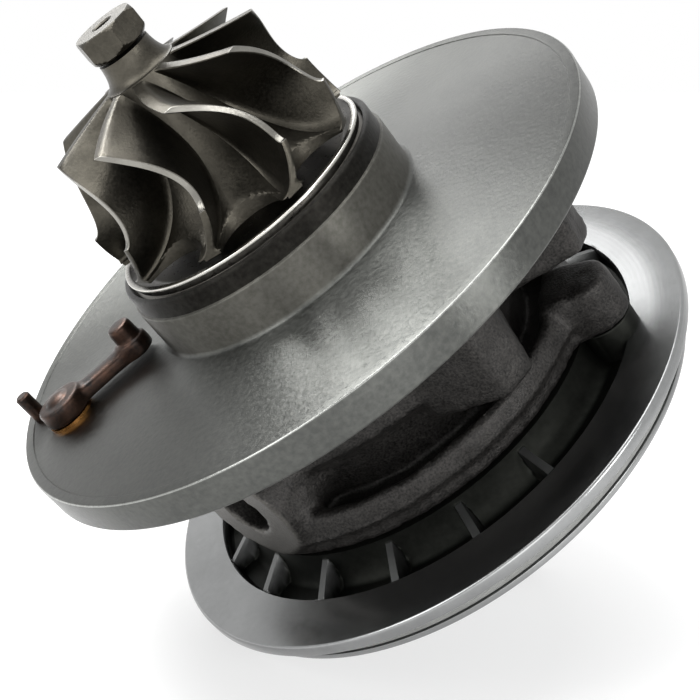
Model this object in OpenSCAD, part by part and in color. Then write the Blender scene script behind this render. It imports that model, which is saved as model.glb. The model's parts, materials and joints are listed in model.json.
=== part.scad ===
// Core of a small variable-vane turbocharger: bearing housing, rotor, seals and compressor backplate.
// Z is the rotor axis, the turbine nose points up, and Z = 0 is the face of the large disc.
// All sizes are millimetres and degrees.

/* [Turbine flange] */
// Radius of the large disc that the turbine housing clamps
flange_r = 52; // [50:0.5:56]
// Thickness of the large disc
flange_t = 5.3; // [4.5:0.1:6.5]
// Rounding of the disc's edges
flange_round = 0.6; // [0.2:0.1:1]
// Width of the raised seat along the disc's edge
seat_w = 1.7; // [1.2:0.1:2.2]
// Height of the raised seat above the disc's face
seat_h = 0.15; // [0.1:0.05:0.3]

/* [Hub above the flange] */
// Height of the hub's lower step
hub_h = 7.4; // [6.8:0.1:9]
// Width of the shoulder between the two steps
hub_step = 0.5; // [0.3:0.1:1.2]
// Height of the hub's upper step
collar_h = 3.1; // [2.4:0.1:4]
// Wall of the upper step round the heat shield
collar_wall = 1; // [0.8:0.1:1.6]
// Rounding of the upper step's edge
collar_round = 0.6; // [0.3:0.1:0.7]
// Depth of the floor under the heat shield, from the top of the lower step
hub_floor_drop = 1.4; // [0.8:0.1:2.4]

/* [Heat shield] */
// Overhang of the shield's rim past the blade tips
shield_over = 0.3; // [0.1:0.1:1]
// Sheet thickness of the shield
shield_t = 0.9; // [0.6:0.1:1.2]
// How far the shield's rim stands above the hub
shield_proud = 1.3; // [0.8:0.1:1.6]
// Depth of the shield's dish
shield_dish = 1.6; // [1:0.1:2]
// Width of the sloping band inside the rim
shield_slope = 2.2; // [1.5:0.1:3]
// Radial gap between the shield and the hub, and between the shield and the rotor's boss
shield_fit = 0.3; // [0.2:0.05:0.6]

/* [Turbine wheel] */
// Radius over the inlet tips
turbine_tip_r = 21.5; // [20.5:0.1:23]
// Radius over the outlet tips
turbine_out_r = 18.1; // [17:0.1:19]
// Number of blades
turbine_blades = 9; // [8:1:11]
// Gap between the shield's rim and the back of the wheel
turbine_gap = 0.7; // [0.5:0.1:1.5]
// Thickness of the scalloped back disc at its edge
turbine_back_t = 1; // [0.7:0.1:1.4]
// How far the edge of the back disc stays inside the blade tips
turbine_back_in = 0.3; // [0.2:0.1:0.6]
// Depth of the blades' roots in the back disc at its edge
turbine_sunk = 0.6; // [0.3:0.1:0.7]
// Width of the blade at the inlet
turbine_inlet_w = 5.7; // [5:0.1:6.5]
// Height of the outlet tips above the back of the wheel
turbine_out_h = 19.5; // [18:0.1:21]
// Height at which the blades run into the nose
turbine_root_h = 22.2; // [21.2:0.1:24]
// Height at which the blades stop leaning forward
turbine_crown_h = 8.5; // [7.5:0.1:9.5]
// Backward sweep of the blade from its crown to the outlet tip
turbine_out_sweep = 27; // [20:0.5:32]
// Backward sweep of the blade from its crown to the back disc
turbine_in_sweep = 9; // [4:0.5:12]
// Blade thickness at the tip
turbine_blade_t = 1; // [0.8:0.1:1.4]
// Blade thickness at the root
turbine_root_t = 1.9; // [1.5:0.1:2.4]
// Radius of the hub where the blades end
turbine_nose_r = 5.9; // [5.4:0.1:6.3]
// Radius of the neck under the hexagon
turbine_neck_r = 4.2; // [3.8:0.1:4.5]
// Length of the neck
turbine_neck_h = 4.2; // [3.4:0.1:5]
// Radius of the hexagon over its corners
turbine_hex_r = 5.3; // [4.9:0.1:5.8]
// Height of the hexagon
turbine_hex_h = 4.1; // [3.5:0.1:5]
// Chamfer on the corners of a hexagon
hex_chamfer = 0.6; // [0.3:0.1:0.7]
// Radius of the centre drilling in the nose
turbine_drill_r = 1.5; // [1:0.1:2]
// Depth of the centre drilling
turbine_drill_h = 2.2; // [1.5:0.1:3]
// Radius of the scallops cut between the blades
turbine_scallop_r = 6; // [5:0.1:6.3]
// Angle of the first blade's crown at rest
rotor_phase = 0.5; // [0:0.5:39.5]

/* [Rotor shaft] */
// Radius of the shaft in its journal bearings
journal_r = 4; // [3.6:0.1:4.4]
// How much thinner the shaft is between the bearings
waist_drop = 0.4; // [0.2:0.1:0.8]
// Radius of the stub that carries the compressor wheel
stub_r = 2.5; // [2.2:0.1:3]
// Radius of the seal hub behind the turbine wheel
seal_hub_r = 8.4; // [7.8:0.1:9]
// Length of the stub past the compressor nut
stub_past_nut = 3.5; // [2:0.1:5]
// Chamfer on the end of the stub
stub_chamfer = 0.6; // [0.3:0.1:1]
// Reach of the seal hub into the turbine-side oil gallery
seal_hub_past = 0.45; // [0.2:0.05:0.8]
// Radial clearance of the pieces that are clamped on the stub
stub_fit = 0.02; // [0.01:0.01:0.05]

/* [Seals] */
// Width of a piston ring
ring_w = 1.2; // [1:0.1:1.5]
// Radial thickness of a piston ring
ring_t = 0.9; // [0.7:0.1:1.2]
// Axial clearance of a piston ring in its groove
ring_fit = 0.05; // [0.03:0.01:0.1]
// Gap between the ends of a split ring
ring_split = 0.5; // [0.3:0.1:0.8]
// Radial clearance between a seal hub and its bore
seal_fit = 0.09; // [0.06:0.01:0.1]

/* [Journal bearings] */
// Length of a floating bush
bearing_len = 6.5; // [6:0.1:8]
// Wall of a floating bush
bearing_wall = 2.5; // [2.2:0.1:3]
// Radial clearance between the shaft and the bushes
bearing_inner_fit = 0.03; // [0.02:0.01:0.06]
// Radial clearance between the bushes and the housing
bearing_outer_fit = 0.05; // [0.03:0.01:0.08]
// Radius of the oil holes in a bush
bearing_oil_r = 0.8; // [0.6:0.1:1.2]
// Number of oil holes in a bush
bearing_oil_holes = 6; // [4:1:8]
// Thickness of a circlip
clip_t = 1; // [0.8:0.05:1.2]
// Radial width of a circlip
clip_w = 1.5; // [1.2:0.1:1.8]
// Play of a circlip in its groove, and of a bush between its circlips
clip_play = 0.1; // [0.05:0.01:0.2]
// Gap between the ends of a circlip
clip_gap = 1.5; // [1:0.1:2.5]
// Land of the housing beside a circlip's groove
clip_land = 0.8; // [0.6:0.1:1.2]
// Length of the oil gallery between the bushes
gallery_h = 1.5; // [1:0.1:3]
// Radius of the oil galleries
gallery_r = 10.5; // [10:0.1:12]
// Depth of the turbine-side oil gallery below the flange's face
gallery_drop = 1.2; // [0.8:0.1:2]
// Length of the turbine-side oil gallery
gallery_end_h = 1.8; // [1.4:0.1:3]

/* [Thrust bearing] */
// Radius of the fixed thrust plate
thrust_r = 18.8; // [18:0.1:20]
// Thickness of the fixed thrust plate
thrust_t = 2.8; // [2.4:0.1:3.4]
// Radius of the rotating thrust faces
thrust_face_r = 8.6; // [8:0.1:9.2]
// Thickness of the rotating thrust washer
thrust_washer_t = 1.8; // [1.5:0.1:2.4]
// Axial play of the rotor on each side of the thrust plate
thrust_play = 0.05; // [0.03:0.01:0.08]
// Clearance round the rotating thrust washer
thrust_clear = 0.6; // [0.4:0.1:1]
// Radius of the sleeve's neck inside the thrust plate
sleeve_neck_r = 5; // [4.6:0.1:5.4]
// Thickness of the sleeve's oil flinger
flinger_t = 1.4; // [1:0.1:2]
// Radius of the sleeve where it carries its piston ring
sleeve_r = 6.6; // [6.2:0.1:7]
// Radial fit of the plates in the housing's recess
recess_fit = 0.2; // [0.1:0.05:0.3]
// Height of the backplate's spigot in the recess
spigot_h = 1.5; // [1.2:0.1:2.5]
// Radius of the circle that the thrust screws lie on
thrust_screw_pcd_r = 15.4; // [15:0.1:15.8]
// Radius of a thrust screw's thread
thrust_screw_r = 1.5; // [1.3:0.1:1.7]
// Length of a thrust screw in the housing
thrust_screw_len = 4.5; // [3.5:0.1:5.5]
// Radius of a thrust screw's head
thrust_head_r = 2.9; // [2.5:0.1:3]
// Height of a thrust screw's head
thrust_head_h = 1.4; // [1:0.1:1.8]
// Radius of a thrust screw's socket over its corners
thrust_socket_r = 1.4; // [1:0.1:1.6]
// Depth of a thrust screw's socket
thrust_socket_h = 0.8; // [0.5:0.1:0.9]

/* [Oil deflector] */
// Sheet thickness of the deflector
deflector_t = 0.7; // [0.5:0.05:1]
// Outer radius of the deflector's dish
deflector_dish_r = 11.8; // [11.4:0.1:12.4]
// Clearance between the deflector and the rotating sleeve
deflector_clear = 0.7; // [0.5:0.1:0.9]

/* [Cast body] */
// Radius of the core between the discs
core_r = 28; // [27:0.1:30]
// Radius of the core's foot inside the ring
core_foot_r = 25; // [24.4:0.1:26]
// Height over which the core narrows to its foot, above the top of the ring
core_taper_h = 5; // [2:0.5:8]
// Outer radius of the ring at the compressor end
ring_wall_r = 34; // [33:0.1:35]
// Wall of the ring
ring_wall_t = 2.6; // [2.2:0.1:3]
// Height of the ring
ring_wall_h = 7; // [6:0.1:8]
// Thickness of the floor between the core and the ring
ring_floor_t = 2.6; // [2.4:0.1:3.6]
// Rounding of the cast ring's top
cast_round = 1.1; // [0.5:0.1:1.2]
// Radius of the screw ears on the ring
ear_r = 4.6; // [4.4:0.1:5]
// Height of the screw ears
ear_h = 8; // [7:0.1:9]
// Distance of the screws from the ring's wall
ear_out = 3.2; // [2.8:0.1:3.6]
// Directions of the screw ears
ear_angles = [-10, 60, 112, 165]; // [-180:1:180]
// Directions of the cast lugs under the flange
lug_angles = [-44, -15, 100, 166]; // [-180:1:180]
// Reach of the cast lugs from the axis
lug_reach = [38, 44, 38, 44]; // [34:0.5:46]
// Drop of the cast lugs below the flange's face
lug_drop = [24.5, 17.5, 24.5, 17.5]; // [12:0.5:25]
// Width of a lug at its outer end
lug_tip_w = 6; // [4:0.5:9]
// Width of a lug where it leaves the core
lug_root_w = 17; // [12:0.5:20]

/* [Oil ports] */
// Direction of the oil inlet
inlet_angle = -125; // [-130:1:-120]
// Distance of the inlet's face from the axis
inlet_face = 35; // [34.5:0.1:37]
// Height of the inlet's centre above the compressor joint
inlet_rise = 10.9; // [10:0.1:12]
// Radius of the inlet's boss
inlet_boss_r = 9.5; // [8.5:0.1:10]
// Radius of the inlet's threaded hole
inlet_hole_r = 4.5; // [4:0.1:5]
// Depth of the inlet's threaded hole
inlet_depth = 12; // [9:0.5:14]
// Radius of the oil feed to the bearing bore
feed_r = 1.6; // [1.2:0.1:2]
// Distance of the drain's face from the axis
drain_face = 32; // [31:0.1:34]
// Radius of the drain hole
drain_hole_r = 6.5; // [5.5:0.1:7]
// Half height of the drain's flange
drain_half_h = 8.6; // [8:0.1:9]
// Distance between the drain's two screw holes
drain_pitch = 30; // [27:0.5:33]
// Radius of the drain's screw holes
drain_screw_r = 2.5; // [2:0.1:3]
// Depth of the drain's screw holes
drain_screw_h = 9; // [7:0.5:10]
// Metal between a drain screw hole and the end of the flange
drain_edge = 3.4; // [2.5:0.1:5]
// Distance of the drain's inner end from the axis
drain_start = 9.5; // [9:0.1:10]
// Radius of the passage from the turbine-side gallery to the drain
return_r = 1.4; // [1:0.1:1.6]
// Radius of the passage from the thrust bearing to the drain
scupper_r = 4; // [3:0.1:4.5]

/* [Compressor backplate] */
// Radius of the backplate's rim
rim_r = 48.95; // [48:0.05:50]
// Chamfer on the rim's upper edge
rim_chamfer = 0.5; // [0.2:0.1:0.8]
// Thickness of the rim
rim_t = 2; // [1.8:0.1:2.4]
// Drop of the rim's machined face below the joint with the housing
rim_drop = 3.2; // [2.6:0.1:3.8]
// Width of the rim's machined face
rim_w = 8.35; // [7.8:0.05:8.8]
// Depth of the pockets below the rim's face
pocket_depth = 2.3; // [1.8:0.1:2.8]
// Width of the pocket's sloping inner wall
pocket_slope = 2.4; // [1.8:0.1:3]
// Lip of the backplate past the housing's ring
joint_lip = 0.4; // [0.2:0.1:0.4]
// Number of rib places round the backplate
rib_places = 18; // [14:1:20]
// Direction of the first rib
rib_phase = 8; // [0:0.5:19.5]
// Thickness of a rib
rib_t = 1.4; // [1:0.1:2]
// Drop of a rib's ends below the faces that they meet
rib_drop = 0.4; // [0.2:0.1:0.8]
// Half angle kept free of ribs round a screw ear
rib_free = 22.5; // [20:0.5:26]
// Drop of the diffuser face below the joint
diffuser_drop = 9.6; // [9.2:0.1:11]
// Step from the rim to the spigot that the compressor cover slides over
cover_step = 2.45; // [2:0.05:3]
// Radius of the gasket between housing and backplate, at its middle
gasket_r = 22.2; // [21.6:0.1:23]
// Thickness of the gasket's round section
gasket_d = 1.6; // [1.4:0.1:2]
// Thickness of the cover's O-ring section
o_ring_d = 1.8; // [1.6:0.1:2]
// How far the cover's O-ring stands out of its groove
o_ring_proud = 0.15; // [0.1:0.05:0.3]
// Clearance of a seal in its groove
groove_fit = 0.05; // [0.03:0.01:0.1]
// Radius of a backplate screw's thread
screw_r = 2.5; // [2.2:0.1:2.8]
// Radius of a backplate screw's countersunk head
screw_head_r = 4.4; // [4:0.1:4.6]
// Depth of a backplate screw's head below the diffuser face
screw_recess = 0.4; // [0.2:0.1:0.8]
// Radius of a backplate screw's socket over its corners
screw_socket_r = 1.7; // [1.4:0.1:2]
// Depth of a backplate screw's socket
screw_socket_h = 1.8; // [1.4:0.1:2.4]
// Length of a backplate screw's thread in the ear
screw_grip = 6; // [5:0.1:6.5]
// Radial clearance of a screw in a drilled hole
drill_fit = 0.25; // [0.15:0.05:0.35]
// Radial clearance of a screw in its thread, and of a pin in its hole
thread_fit = 0.02; // [0.01:0.01:0.04]

/* [Compressor wheel] */
// Radius of the wheel over its outlet tips
comp_tip_r = 24.5; // [23.5:0.1:25.5]
// Radius over the inlet tips
comp_in_r = 17.6; // [17:0.1:18.5]
// Height of the wheel
comp_h = 25.5; // [24.5:0.1:27]
// Height of the inlet edges above the back
comp_in_h = 20.5; // [19:0.1:21.5]
// Width of the blade at the outlet
comp_out_w = 3.2; // [2.8:0.1:3.8]
// Thickness of the back disc at its edge
comp_back_t = 1; // [0.8:0.1:1.3]
// How far the blades' outlet edges stay inside the edge of the back disc
comp_blade_in = 0.25; // [0.15:0.05:0.5]
// Depth of the blades' roots in the back disc at its edge
comp_sunk = 0.5; // [0.3:0.1:0.7]
// Height at which the hub's curve meets the straight nose
comp_curve_h = 22.5; // [22:0.1:23.5]
// Radius of the hub at the nose
comp_nose_r = 5.6; // [5.2:0.1:6.2]
// Number of full blades, with a splitter between each pair
comp_blades = 6; // [5:1:7]
// Turn of a blade from its outlet to its inlet edge
comp_wrap = 52; // [40:1:60]
// Blade thickness at the tip
comp_blade_t = 0.6; // [0.5:0.05:0.9]
// Blade thickness at the root
comp_root_t = 1.2; // [1:0.1:1.6]
// Radial gap between the wheel and its recess in the backplate
comp_fit = 0.8; // [0.5:0.1:1]
// Depth of the wheel's recess in the diffuser face
comp_recess = 1.6; // [1.2:0.1:2]
// Gap behind the wheel
comp_gap = 0.4; // [0.3:0.05:0.6]
// Radius of the nut's flange
nut_flange_r = 5.4; // [5.1:0.1:5.6]
// Thickness of the nut's flange
nut_flange_t = 1.2; // [0.8:0.1:1.6]
// Radius of the nut's hexagon over its corners
nut_hex_r = 4.6; // [4.2:0.1:5]
// Height of the nut's hexagon
nut_hex_h = 5; // [4:0.1:6]

/* [Vane crank] */
// Distance of the crank's pivot from the rotor axis
crank_pivot_r = 42.5; // [42:0.1:43.5]
// Direction of the crank's pivot
crank_pivot_angle = -157; // [-160:0.5:-154]
// Length of the crank's arm between centres
crank_len = 14.6; // [13.5:0.1:15.5]
// Direction in which the arm points at rest
crank_dir = 31; // [24:0.5:38]
// Thickness of the arm
crank_t = 3; // [2.4:0.1:4]
// Radius of the arm's pivot end
crank_eye_r = 3.9; // [3.6:0.1:4.1]
// Radius of the arm's free end
crank_tip_r = 2.7; // [2.4:0.1:3]
// Radius of the finger at the arm's free end
finger_r = 2.1; // [1.8:0.1:2.3]
// Height of the finger above the arm
finger_h = 2.8; // [2:0.1:4]
// Radius of the crank's shaft
crank_shaft_r = 2.5; // [2.2:0.1:2.7]
// Length of the crank's stub behind the flange
crank_stub = 8.5; // [7:0.1:10]
// Step from the crank's shaft down to its driven end
crank_end_step = 0.3; // [0.2:0.1:0.4]
// Depth of each flat on the driven end, from the shaft's surface
crank_flat = 0.6; // [0.5:0.1:0.8]
// Length of the driven end with its flats
crank_flat_len = 4; // [3:0.1:5]
// Wall of the crank's bush
bush_wall = 0.9; // [0.7:0.05:1.1]
// Thickness of the bush's flange
bush_flange_t = 0.5; // [0.4:0.1:0.8]
// Running clearance of the crank in its bush
crank_fit = 0.05; // [0.03:0.01:0.1]
// Axial play of the crank
crank_play = 0.15; // [0.1:0.05:0.3]
// Thickness of the crank's clip
crank_clip_t = 0.8; // [0.6:0.1:1]
// Depth of the clip's groove in the crank's stub
crank_groove = 0.45; // [0.3:0.05:0.6]
// Reach of the clip past the bush
crank_clip_past = 0.5; // [0.3:0.1:1]
// Radius of the locating pin
pin_r = 1.25; // [1:0.05:1.5]
// Gap between the locating pin and the raised seat
pin_gap = 0.15; // [0.1:0.05:0.4]
// Direction of the locating pin
pin_angle = -166.2; // [-169:0.2:-163]
// Height of the locating pin above the flange
pin_h = 5; // [3:0.1:6]
// Depth of the locating pin in the flange
pin_sunk = 3.8; // [3:0.1:4.2]
// Chamfer on the locating pin's end
pin_chamfer = 0.3; // [0.2:0.1:0.5]

/* [Hidden] */
$fn = 96;

// A cut runs past the faces it opens by this much
over = 1;
// A rib or boss reaches this far into the metal that it grows from
sink = 0.7;
// Points on a quarter of a rounded corner
arc_steps = 6;
// Stations along and across a blade
blade_steps = 12;
span_steps = 3;

// Radii that follow from the turbine wheel outwards
shield_r = turbine_tip_r + shield_over;
shield_seat_r = shield_r + shield_fit;
collar_r = shield_seat_r + collar_wall;
hub_r = collar_r + hub_step;
seal_bore_r = seal_hub_r + seal_fit;

// Heights above the flange
collar_top_z = hub_h + collar_h;
hub_floor_z = hub_h - hub_floor_drop;
shield_top_z = collar_top_z + shield_proud;
turbine_back_z = shield_top_z + turbine_gap;
turbine_root_z = turbine_back_z + turbine_root_h;
turbine_hex_z = turbine_root_z + turbine_neck_h;
turbine_top_z = turbine_hex_z + turbine_hex_h;
weld_z = shield_top_z - shield_dish - shield_t;

// Heights below the flange: galleries, bushes and clips, then the thrust bearing and the compressor joint
bearing_bore_r = journal_r + bearing_inner_fit + bearing_wall + bearing_outer_fit;
bearing_outer_r = bearing_bore_r - bearing_outer_fit;
clip_groove_h = clip_t + 2*clip_play;
clip_outer_r = bearing_bore_r + clip_w/2;
gallery_top_z = -gallery_drop;
bore_top_z = gallery_top_z - gallery_end_h;
clip_1_z = bore_top_z - clip_land - clip_groove_h;
bearing_t_z = clip_1_z - clip_play - bearing_len;
clip_2_z = bearing_t_z - clip_play - clip_groove_h;
gallery_mid_z = clip_2_z - clip_land - gallery_h;
clip_3_z = gallery_mid_z - clip_land - clip_groove_h;
bearing_c_z = clip_3_z - clip_play - bearing_len;
clip_4_z = bearing_c_z - clip_play - clip_groove_h;
clip_zs = [clip_1_z, clip_2_z, clip_3_z, clip_4_z];
washer_bore_z = clip_4_z - clip_land;
recess_z = washer_bore_z - thrust_washer_t - thrust_play - thrust_clear;
joint_z = recess_z - thrust_t - deflector_t - spigot_h;
recess_r = thrust_r + recess_fit;
shaft_shoulder_z = recess_z + thrust_play + thrust_washer_t;
seal_hub_end_z = gallery_top_z - seal_hub_past;

// Thrust sleeve and oil deflector
neck_h = thrust_t + 2*thrust_play;
flinger_z = shaft_shoulder_z - thrust_washer_t - neck_h - flinger_t;
deflector_rim_z = recess_z - thrust_t - deflector_t;
deflector_floor_z = flinger_z - deflector_clear - deflector_t;
deflector_hole_r = sleeve_r + deflector_clear;
dish_room_r = deflector_dish_r + recess_fit;
dish_room_z = deflector_floor_z - recess_fit;

// Compressor backplate
backplate_r = ring_wall_r + joint_lip;
rim_z = joint_z - rim_drop;
rim_seat_z = rim_z - rim_t;
rim_inner_r = rim_r - rim_chamfer - rim_w;
pocket_z = rim_z - pocket_depth;
spigot_r = rim_r - cover_step;
diffuser_z = joint_z - diffuser_drop;
sleeve_bore_r = sleeve_r + seal_fit;
wheel_room_z = diffuser_z + comp_recess;
wheel_room_r = comp_tip_r + comp_fit;
ear_pcd_r = ring_wall_r + ear_out;
cover_ring_z = (rim_seat_z + diffuser_z)/2;
cover_groove_r = spigot_r + o_ring_proud - o_ring_d - groove_fit;
gasket_groove_z = joint_z - gasket_d - groove_fit;
screw_head_h = screw_head_r - screw_r;
screw_head_z = diffuser_z + screw_recess;
screw_top_z = joint_z + screw_grip;

// Compressor wheel and nut
comp_back_z = wheel_room_z - comp_gap;
comp_nose_z = comp_back_z - comp_h;
nut_end_z = comp_nose_z - nut_flange_t - nut_hex_h;
stub_end_z = nut_end_z - stub_past_nut;
ring_t_z = (hub_floor_z + gallery_top_z)/2;
ring_c_z = (dish_room_z + wheel_room_z)/2;

// Oil ports
inlet_z = joint_z + inlet_rise;
drain_angle = inlet_angle + 180;
drain_z = (joint_z + ring_wall_h - flange_t)/2;
drain_end_r = drain_screw_r + drain_edge;
scupper_pcd_r = (thrust_face_r + thrust_clear + recess_r)/2;

// Locating pin and vane crank
pin_pcd_r = flange_r - seat_w - pin_gap - pin_r;
bush_r = crank_shaft_r + crank_fit + bush_wall;
crank_z = bush_flange_t + crank_play/2;
bush_end_z = -flange_t - bush_flange_t;
crank_clip_z = bush_end_z - crank_play/2 - crank_clip_t;
crank_end_z = -flange_t - crank_stub;
crank_neck_r = crank_shaft_r - crank_groove;

// Points of a quarter turn of radius r about [x, y], from angle a to angle b
function arc(x, y, r, a, b) =
  [for (i = [0:arc_steps]) let (t = a + (b - a)*i/arc_steps) [x + r*cos(t), y + r*sin(t)]];

// A point between p and q
function between(p, q, s) = p + (q - p)*s;

// Quarter of an ellipse from [r1, z1], where it runs inwards, to [r2, z2], where it runs upwards
function quarter(r1, z1, r2, z2, s) = [r1 + (r2 - r1)*sin(90*s), z2 + (z1 - z2)*cos(90*s)];

// A body of revolution about the rotor axis
module turned(points) {
  rotate_extrude()
    polygon(points);
}

// A ring between two radii, standing on z
module tube(outer, inner, z, h) {
  translate([0, 0, z])
    difference() {
      cylinder(r = outer, h = h);
      translate([0, 0, -over])
        cylinder(r = inner, h = h + 2*over);
    }
}

// Moves children to a place on a circle about the rotor axis
module at(r, angle, z = 0) {
  rotate([0, 0, angle])
    translate([r, 0, z])
      children();
}

// Turns children so that their Z points away from the rotor axis in a given direction
module outwards(angle, z) {
  translate([0, 0, z])
    rotate([0, 0, angle])
      rotate([0, 90, 0])
        children();
}

// A hexagonal prism with chamfered corners, standing on z
module hexagon(corner_r, z, h) {
  c = hex_chamfer;
  translate([0, 0, z])
    intersection() {
      cylinder(r = corner_r, h = h, $fn = 6);
      turned([[0, 0], [corner_r - c, 0], [corner_r + c, 2*c],
              [corner_r + c, h - 2*c], [corner_r - c, h], [0, h]]);
    }
}

// A split ring with a gap at +X
module split_ring(outer, inner, z, h, gap) {
  difference() {
    tube(outer, inner, z, h);
    translate([0, -gap/2, z - over])
      cube([outer + over, gap, h + 2*over]);
  }
}

// Blade surfaces: a grid of [radius, height, angle], stations from tip to nose by places from hub to shroud
function blade_turn(grid, i, j) =
  let (a = grid[max(i - 1, 0)][j], b = grid[min(i + 1, len(grid) - 1)][j])
  norm([b[0] - a[0], b[1] - a[1]]) == 0 ? 0 : (b[2] - a[2])*PI/180/norm([b[0] - a[0], b[1] - a[1]]);

function blade_half(grid, i, j, root_t, tip_t) =
  let (t = between(root_t, tip_t, j/span_steps)/2)
  t*sqrt(1 + pow(grid[i][j][0]*blade_turn(grid, i, j), 2));

function blade_side(grid, root_t, tip_t, side) =
  [for (i = [0:len(grid) - 1]) for (j = [0:span_steps])
    let (p = grid[i][j], a = p[2] + side*asin(blade_half(grid, i, j, root_t, tip_t)/p[0]))
    [p[0]*cos(a), p[0]*sin(a), p[1]]];

// Two triangles for each quad
function split_quads(quads) =
  [for (q = quads) each [[q[0], q[1], q[2]], [q[0], q[2], q[3]]]];

// A closed blade of varying thickness on a grid
module blade(grid, root_t, tip_t) {
  n = len(grid);
  m = span_steps + 1;
  back = n*m;
  points = concat(blade_side(grid, root_t, tip_t, 1), blade_side(grid, root_t, tip_t, -1));
  sides = [for (i = [0:n - 2]) for (j = [0:m - 2]) let (p = i*m + j) each [
    [p, p + 1, p + m + 1, p + m],
    [back + p, back + p + m, back + p + m + 1, back + p + 1]]];
  long_edges = [for (i = [0:n - 2]) let (p = i*m, q = i*m + m - 1) each [
    [back + p, p, p + m, back + p + m],
    [back + q, back + q + m, q + m, q]]];
  end_edges = [for (j = [0:m - 2]) let (p = j, q = (n - 1)*m + j) each [
    [back + p, back + p + 1, p + 1, p],
    [back + q, q, q + 1, back + q + 1]]];
  polyhedron(points, split_quads(concat(sides, long_edges, end_edges)));
}

// Lean of a turbine blade at a height above the wheel's back
function turbine_lean(z) =
  z > turbine_crown_h
    ? -turbine_out_sweep*pow((z - turbine_crown_h)/(turbine_out_h - turbine_crown_h), 2)
    : -turbine_in_sweep*pow((z - turbine_crown_h)/(turbine_back_t - turbine_crown_h), 2);

// One turbine blade: radial from hub to shroud at every height. The root lies inside the hub's surface.
turbine_grid = [for (i = [0:blade_steps])
  let (s = i/blade_steps,
       hub = quarter(turbine_tip_r, turbine_back_t - turbine_sunk,
                     turbine_nose_r - turbine_root_t/2, turbine_root_h, s),
       shroud = quarter(turbine_tip_r, turbine_back_t + turbine_inlet_w, turbine_out_r, turbine_out_h, s))
  [for (j = [0:span_steps])
    let (p = between(hub, shroud, j/span_steps))
    [p[0], p[1], turbine_lean(p[1])]]];

// Hub of a wheel: a flat back, a thin edge and a quarter ellipse up to the nose
function wheel_hub(tip_r, back_t, nose_r, nose_h) = concat(
  [[0, 0], [tip_r, 0]],
  [for (i = [0:2*blade_steps]) quarter(tip_r, back_t, nose_r, nose_h, i/(2*blade_steps))]);

// Neck that narrows from the nose to the hexagon
turbine_neck = [for (i = [1:arc_steps])
  quarter(turbine_nose_r, turbine_root_h, turbine_neck_r, turbine_root_h + turbine_neck_h, i/arc_steps)];

// Middle of the web that each blade tip keeps between two scallops
scallop_angle = -turbine_in_sweep + 180/turbine_blades;

module turbine_wheel() {
  color("dimgray")
    rotate([0, 0, rotor_phase]) {
      translate([0, 0, turbine_back_z]) {
        difference() {
          turned(concat(
            wheel_hub(turbine_tip_r - turbine_back_in, turbine_back_t, turbine_nose_r, turbine_root_h),
            turbine_neck,
            [[0, turbine_root_h + turbine_neck_h]]));
          for (i = [0:turbine_blades - 1])
            at(turbine_tip_r, scallop_angle + i*360/turbine_blades, -over)
              cylinder(r = turbine_scallop_r, h = turbine_root_h);
        }
        for (i = [0:turbine_blades - 1])
          rotate([0, 0, i*360/turbine_blades])
            blade(turbine_grid, turbine_root_t, turbine_blade_t);
      }
      translate([0, 0, weld_z])
        cylinder(r = seal_hub_r, h = turbine_back_z - weld_z);
      difference() {
        hexagon(turbine_hex_r, turbine_hex_z, turbine_hex_h);
        translate([0, 0, turbine_top_z - turbine_drill_h])
          cylinder(r = turbine_drill_r, h = turbine_drill_h + over);
      }
    }
}

module rotor_shaft() {
  groove_w = ring_w + 2*ring_fit;
  groove_r = seal_hub_r - ring_t - seal_fit;
  waist_r = journal_r - waist_drop;
  color("silver")
    turned([
      [0, weld_z], [seal_hub_r, weld_z],
      [seal_hub_r, ring_t_z + groove_w/2], [groove_r, ring_t_z + groove_w/2],
      [groove_r, ring_t_z - groove_w/2], [seal_hub_r, ring_t_z - groove_w/2],
      [seal_hub_r, seal_hub_end_z], [journal_r, seal_hub_end_z],
      [journal_r, bearing_t_z], [waist_r, bearing_t_z - waist_drop],
      [waist_r, bearing_c_z + bearing_len + waist_drop], [journal_r, bearing_c_z + bearing_len],
      [journal_r, shaft_shoulder_z], [stub_r, shaft_shoulder_z],
      [stub_r, stub_end_z + stub_chamfer], [stub_r - stub_chamfer, stub_end_z], [0, stub_end_z]]);
}

module turbine_seal_ring() {
  outer = seal_bore_r - stub_fit;
  color("slategray")
    split_ring(outer, outer - ring_t, ring_t_z - ring_w/2, ring_w, ring_split);
}

module heat_shield() {
  inner_r = shield_r - shield_t;
  hole_r = seal_hub_r + shield_fit;
  dish_z = shield_top_z - shield_dish;
  dish_r = inner_r - shield_slope;
  color("darkgray")
    turned([
      [inner_r, hub_floor_z], [shield_r, hub_floor_z],
      each arc(shield_r - shield_t/2, shield_top_z - shield_t/2, shield_t/2, 0, 90),
      [inner_r, shield_top_z],
      [dish_r, dish_z], [hole_r, dish_z], [hole_r, dish_z - shield_t],
      [dish_r, dish_z - shield_t], [inner_r, shield_top_z - shield_t]]);
}

// One floating bush with its oil holes, standing on z
module floating_bush(z) {
  inner_r = journal_r + bearing_inner_fit;
  color("peru")
    difference() {
      tube(bearing_outer_r, inner_r, z, bearing_len);
      for (i = [0:bearing_oil_holes - 1])
        outwards(i*360/bearing_oil_holes, z + bearing_len/2)
          cylinder(r = bearing_oil_r, h = bearing_bore_r);
    }
}

module journal_bearing_turbine() {
  floating_bush(bearing_t_z);
}

module journal_bearing_compressor() {
  floating_bush(bearing_c_z);
}

module bearing_circlips() {
  color("gray")
    for (z = clip_zs)
      split_ring(clip_outer_r, clip_outer_r - clip_w, z + clip_play, clip_t, clip_gap);
}

module thrust_washer() {
  color("lightsteelblue")
    tube(thrust_face_r, stub_r + stub_fit, shaft_shoulder_z - thrust_washer_t, thrust_washer_t);
}

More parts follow.
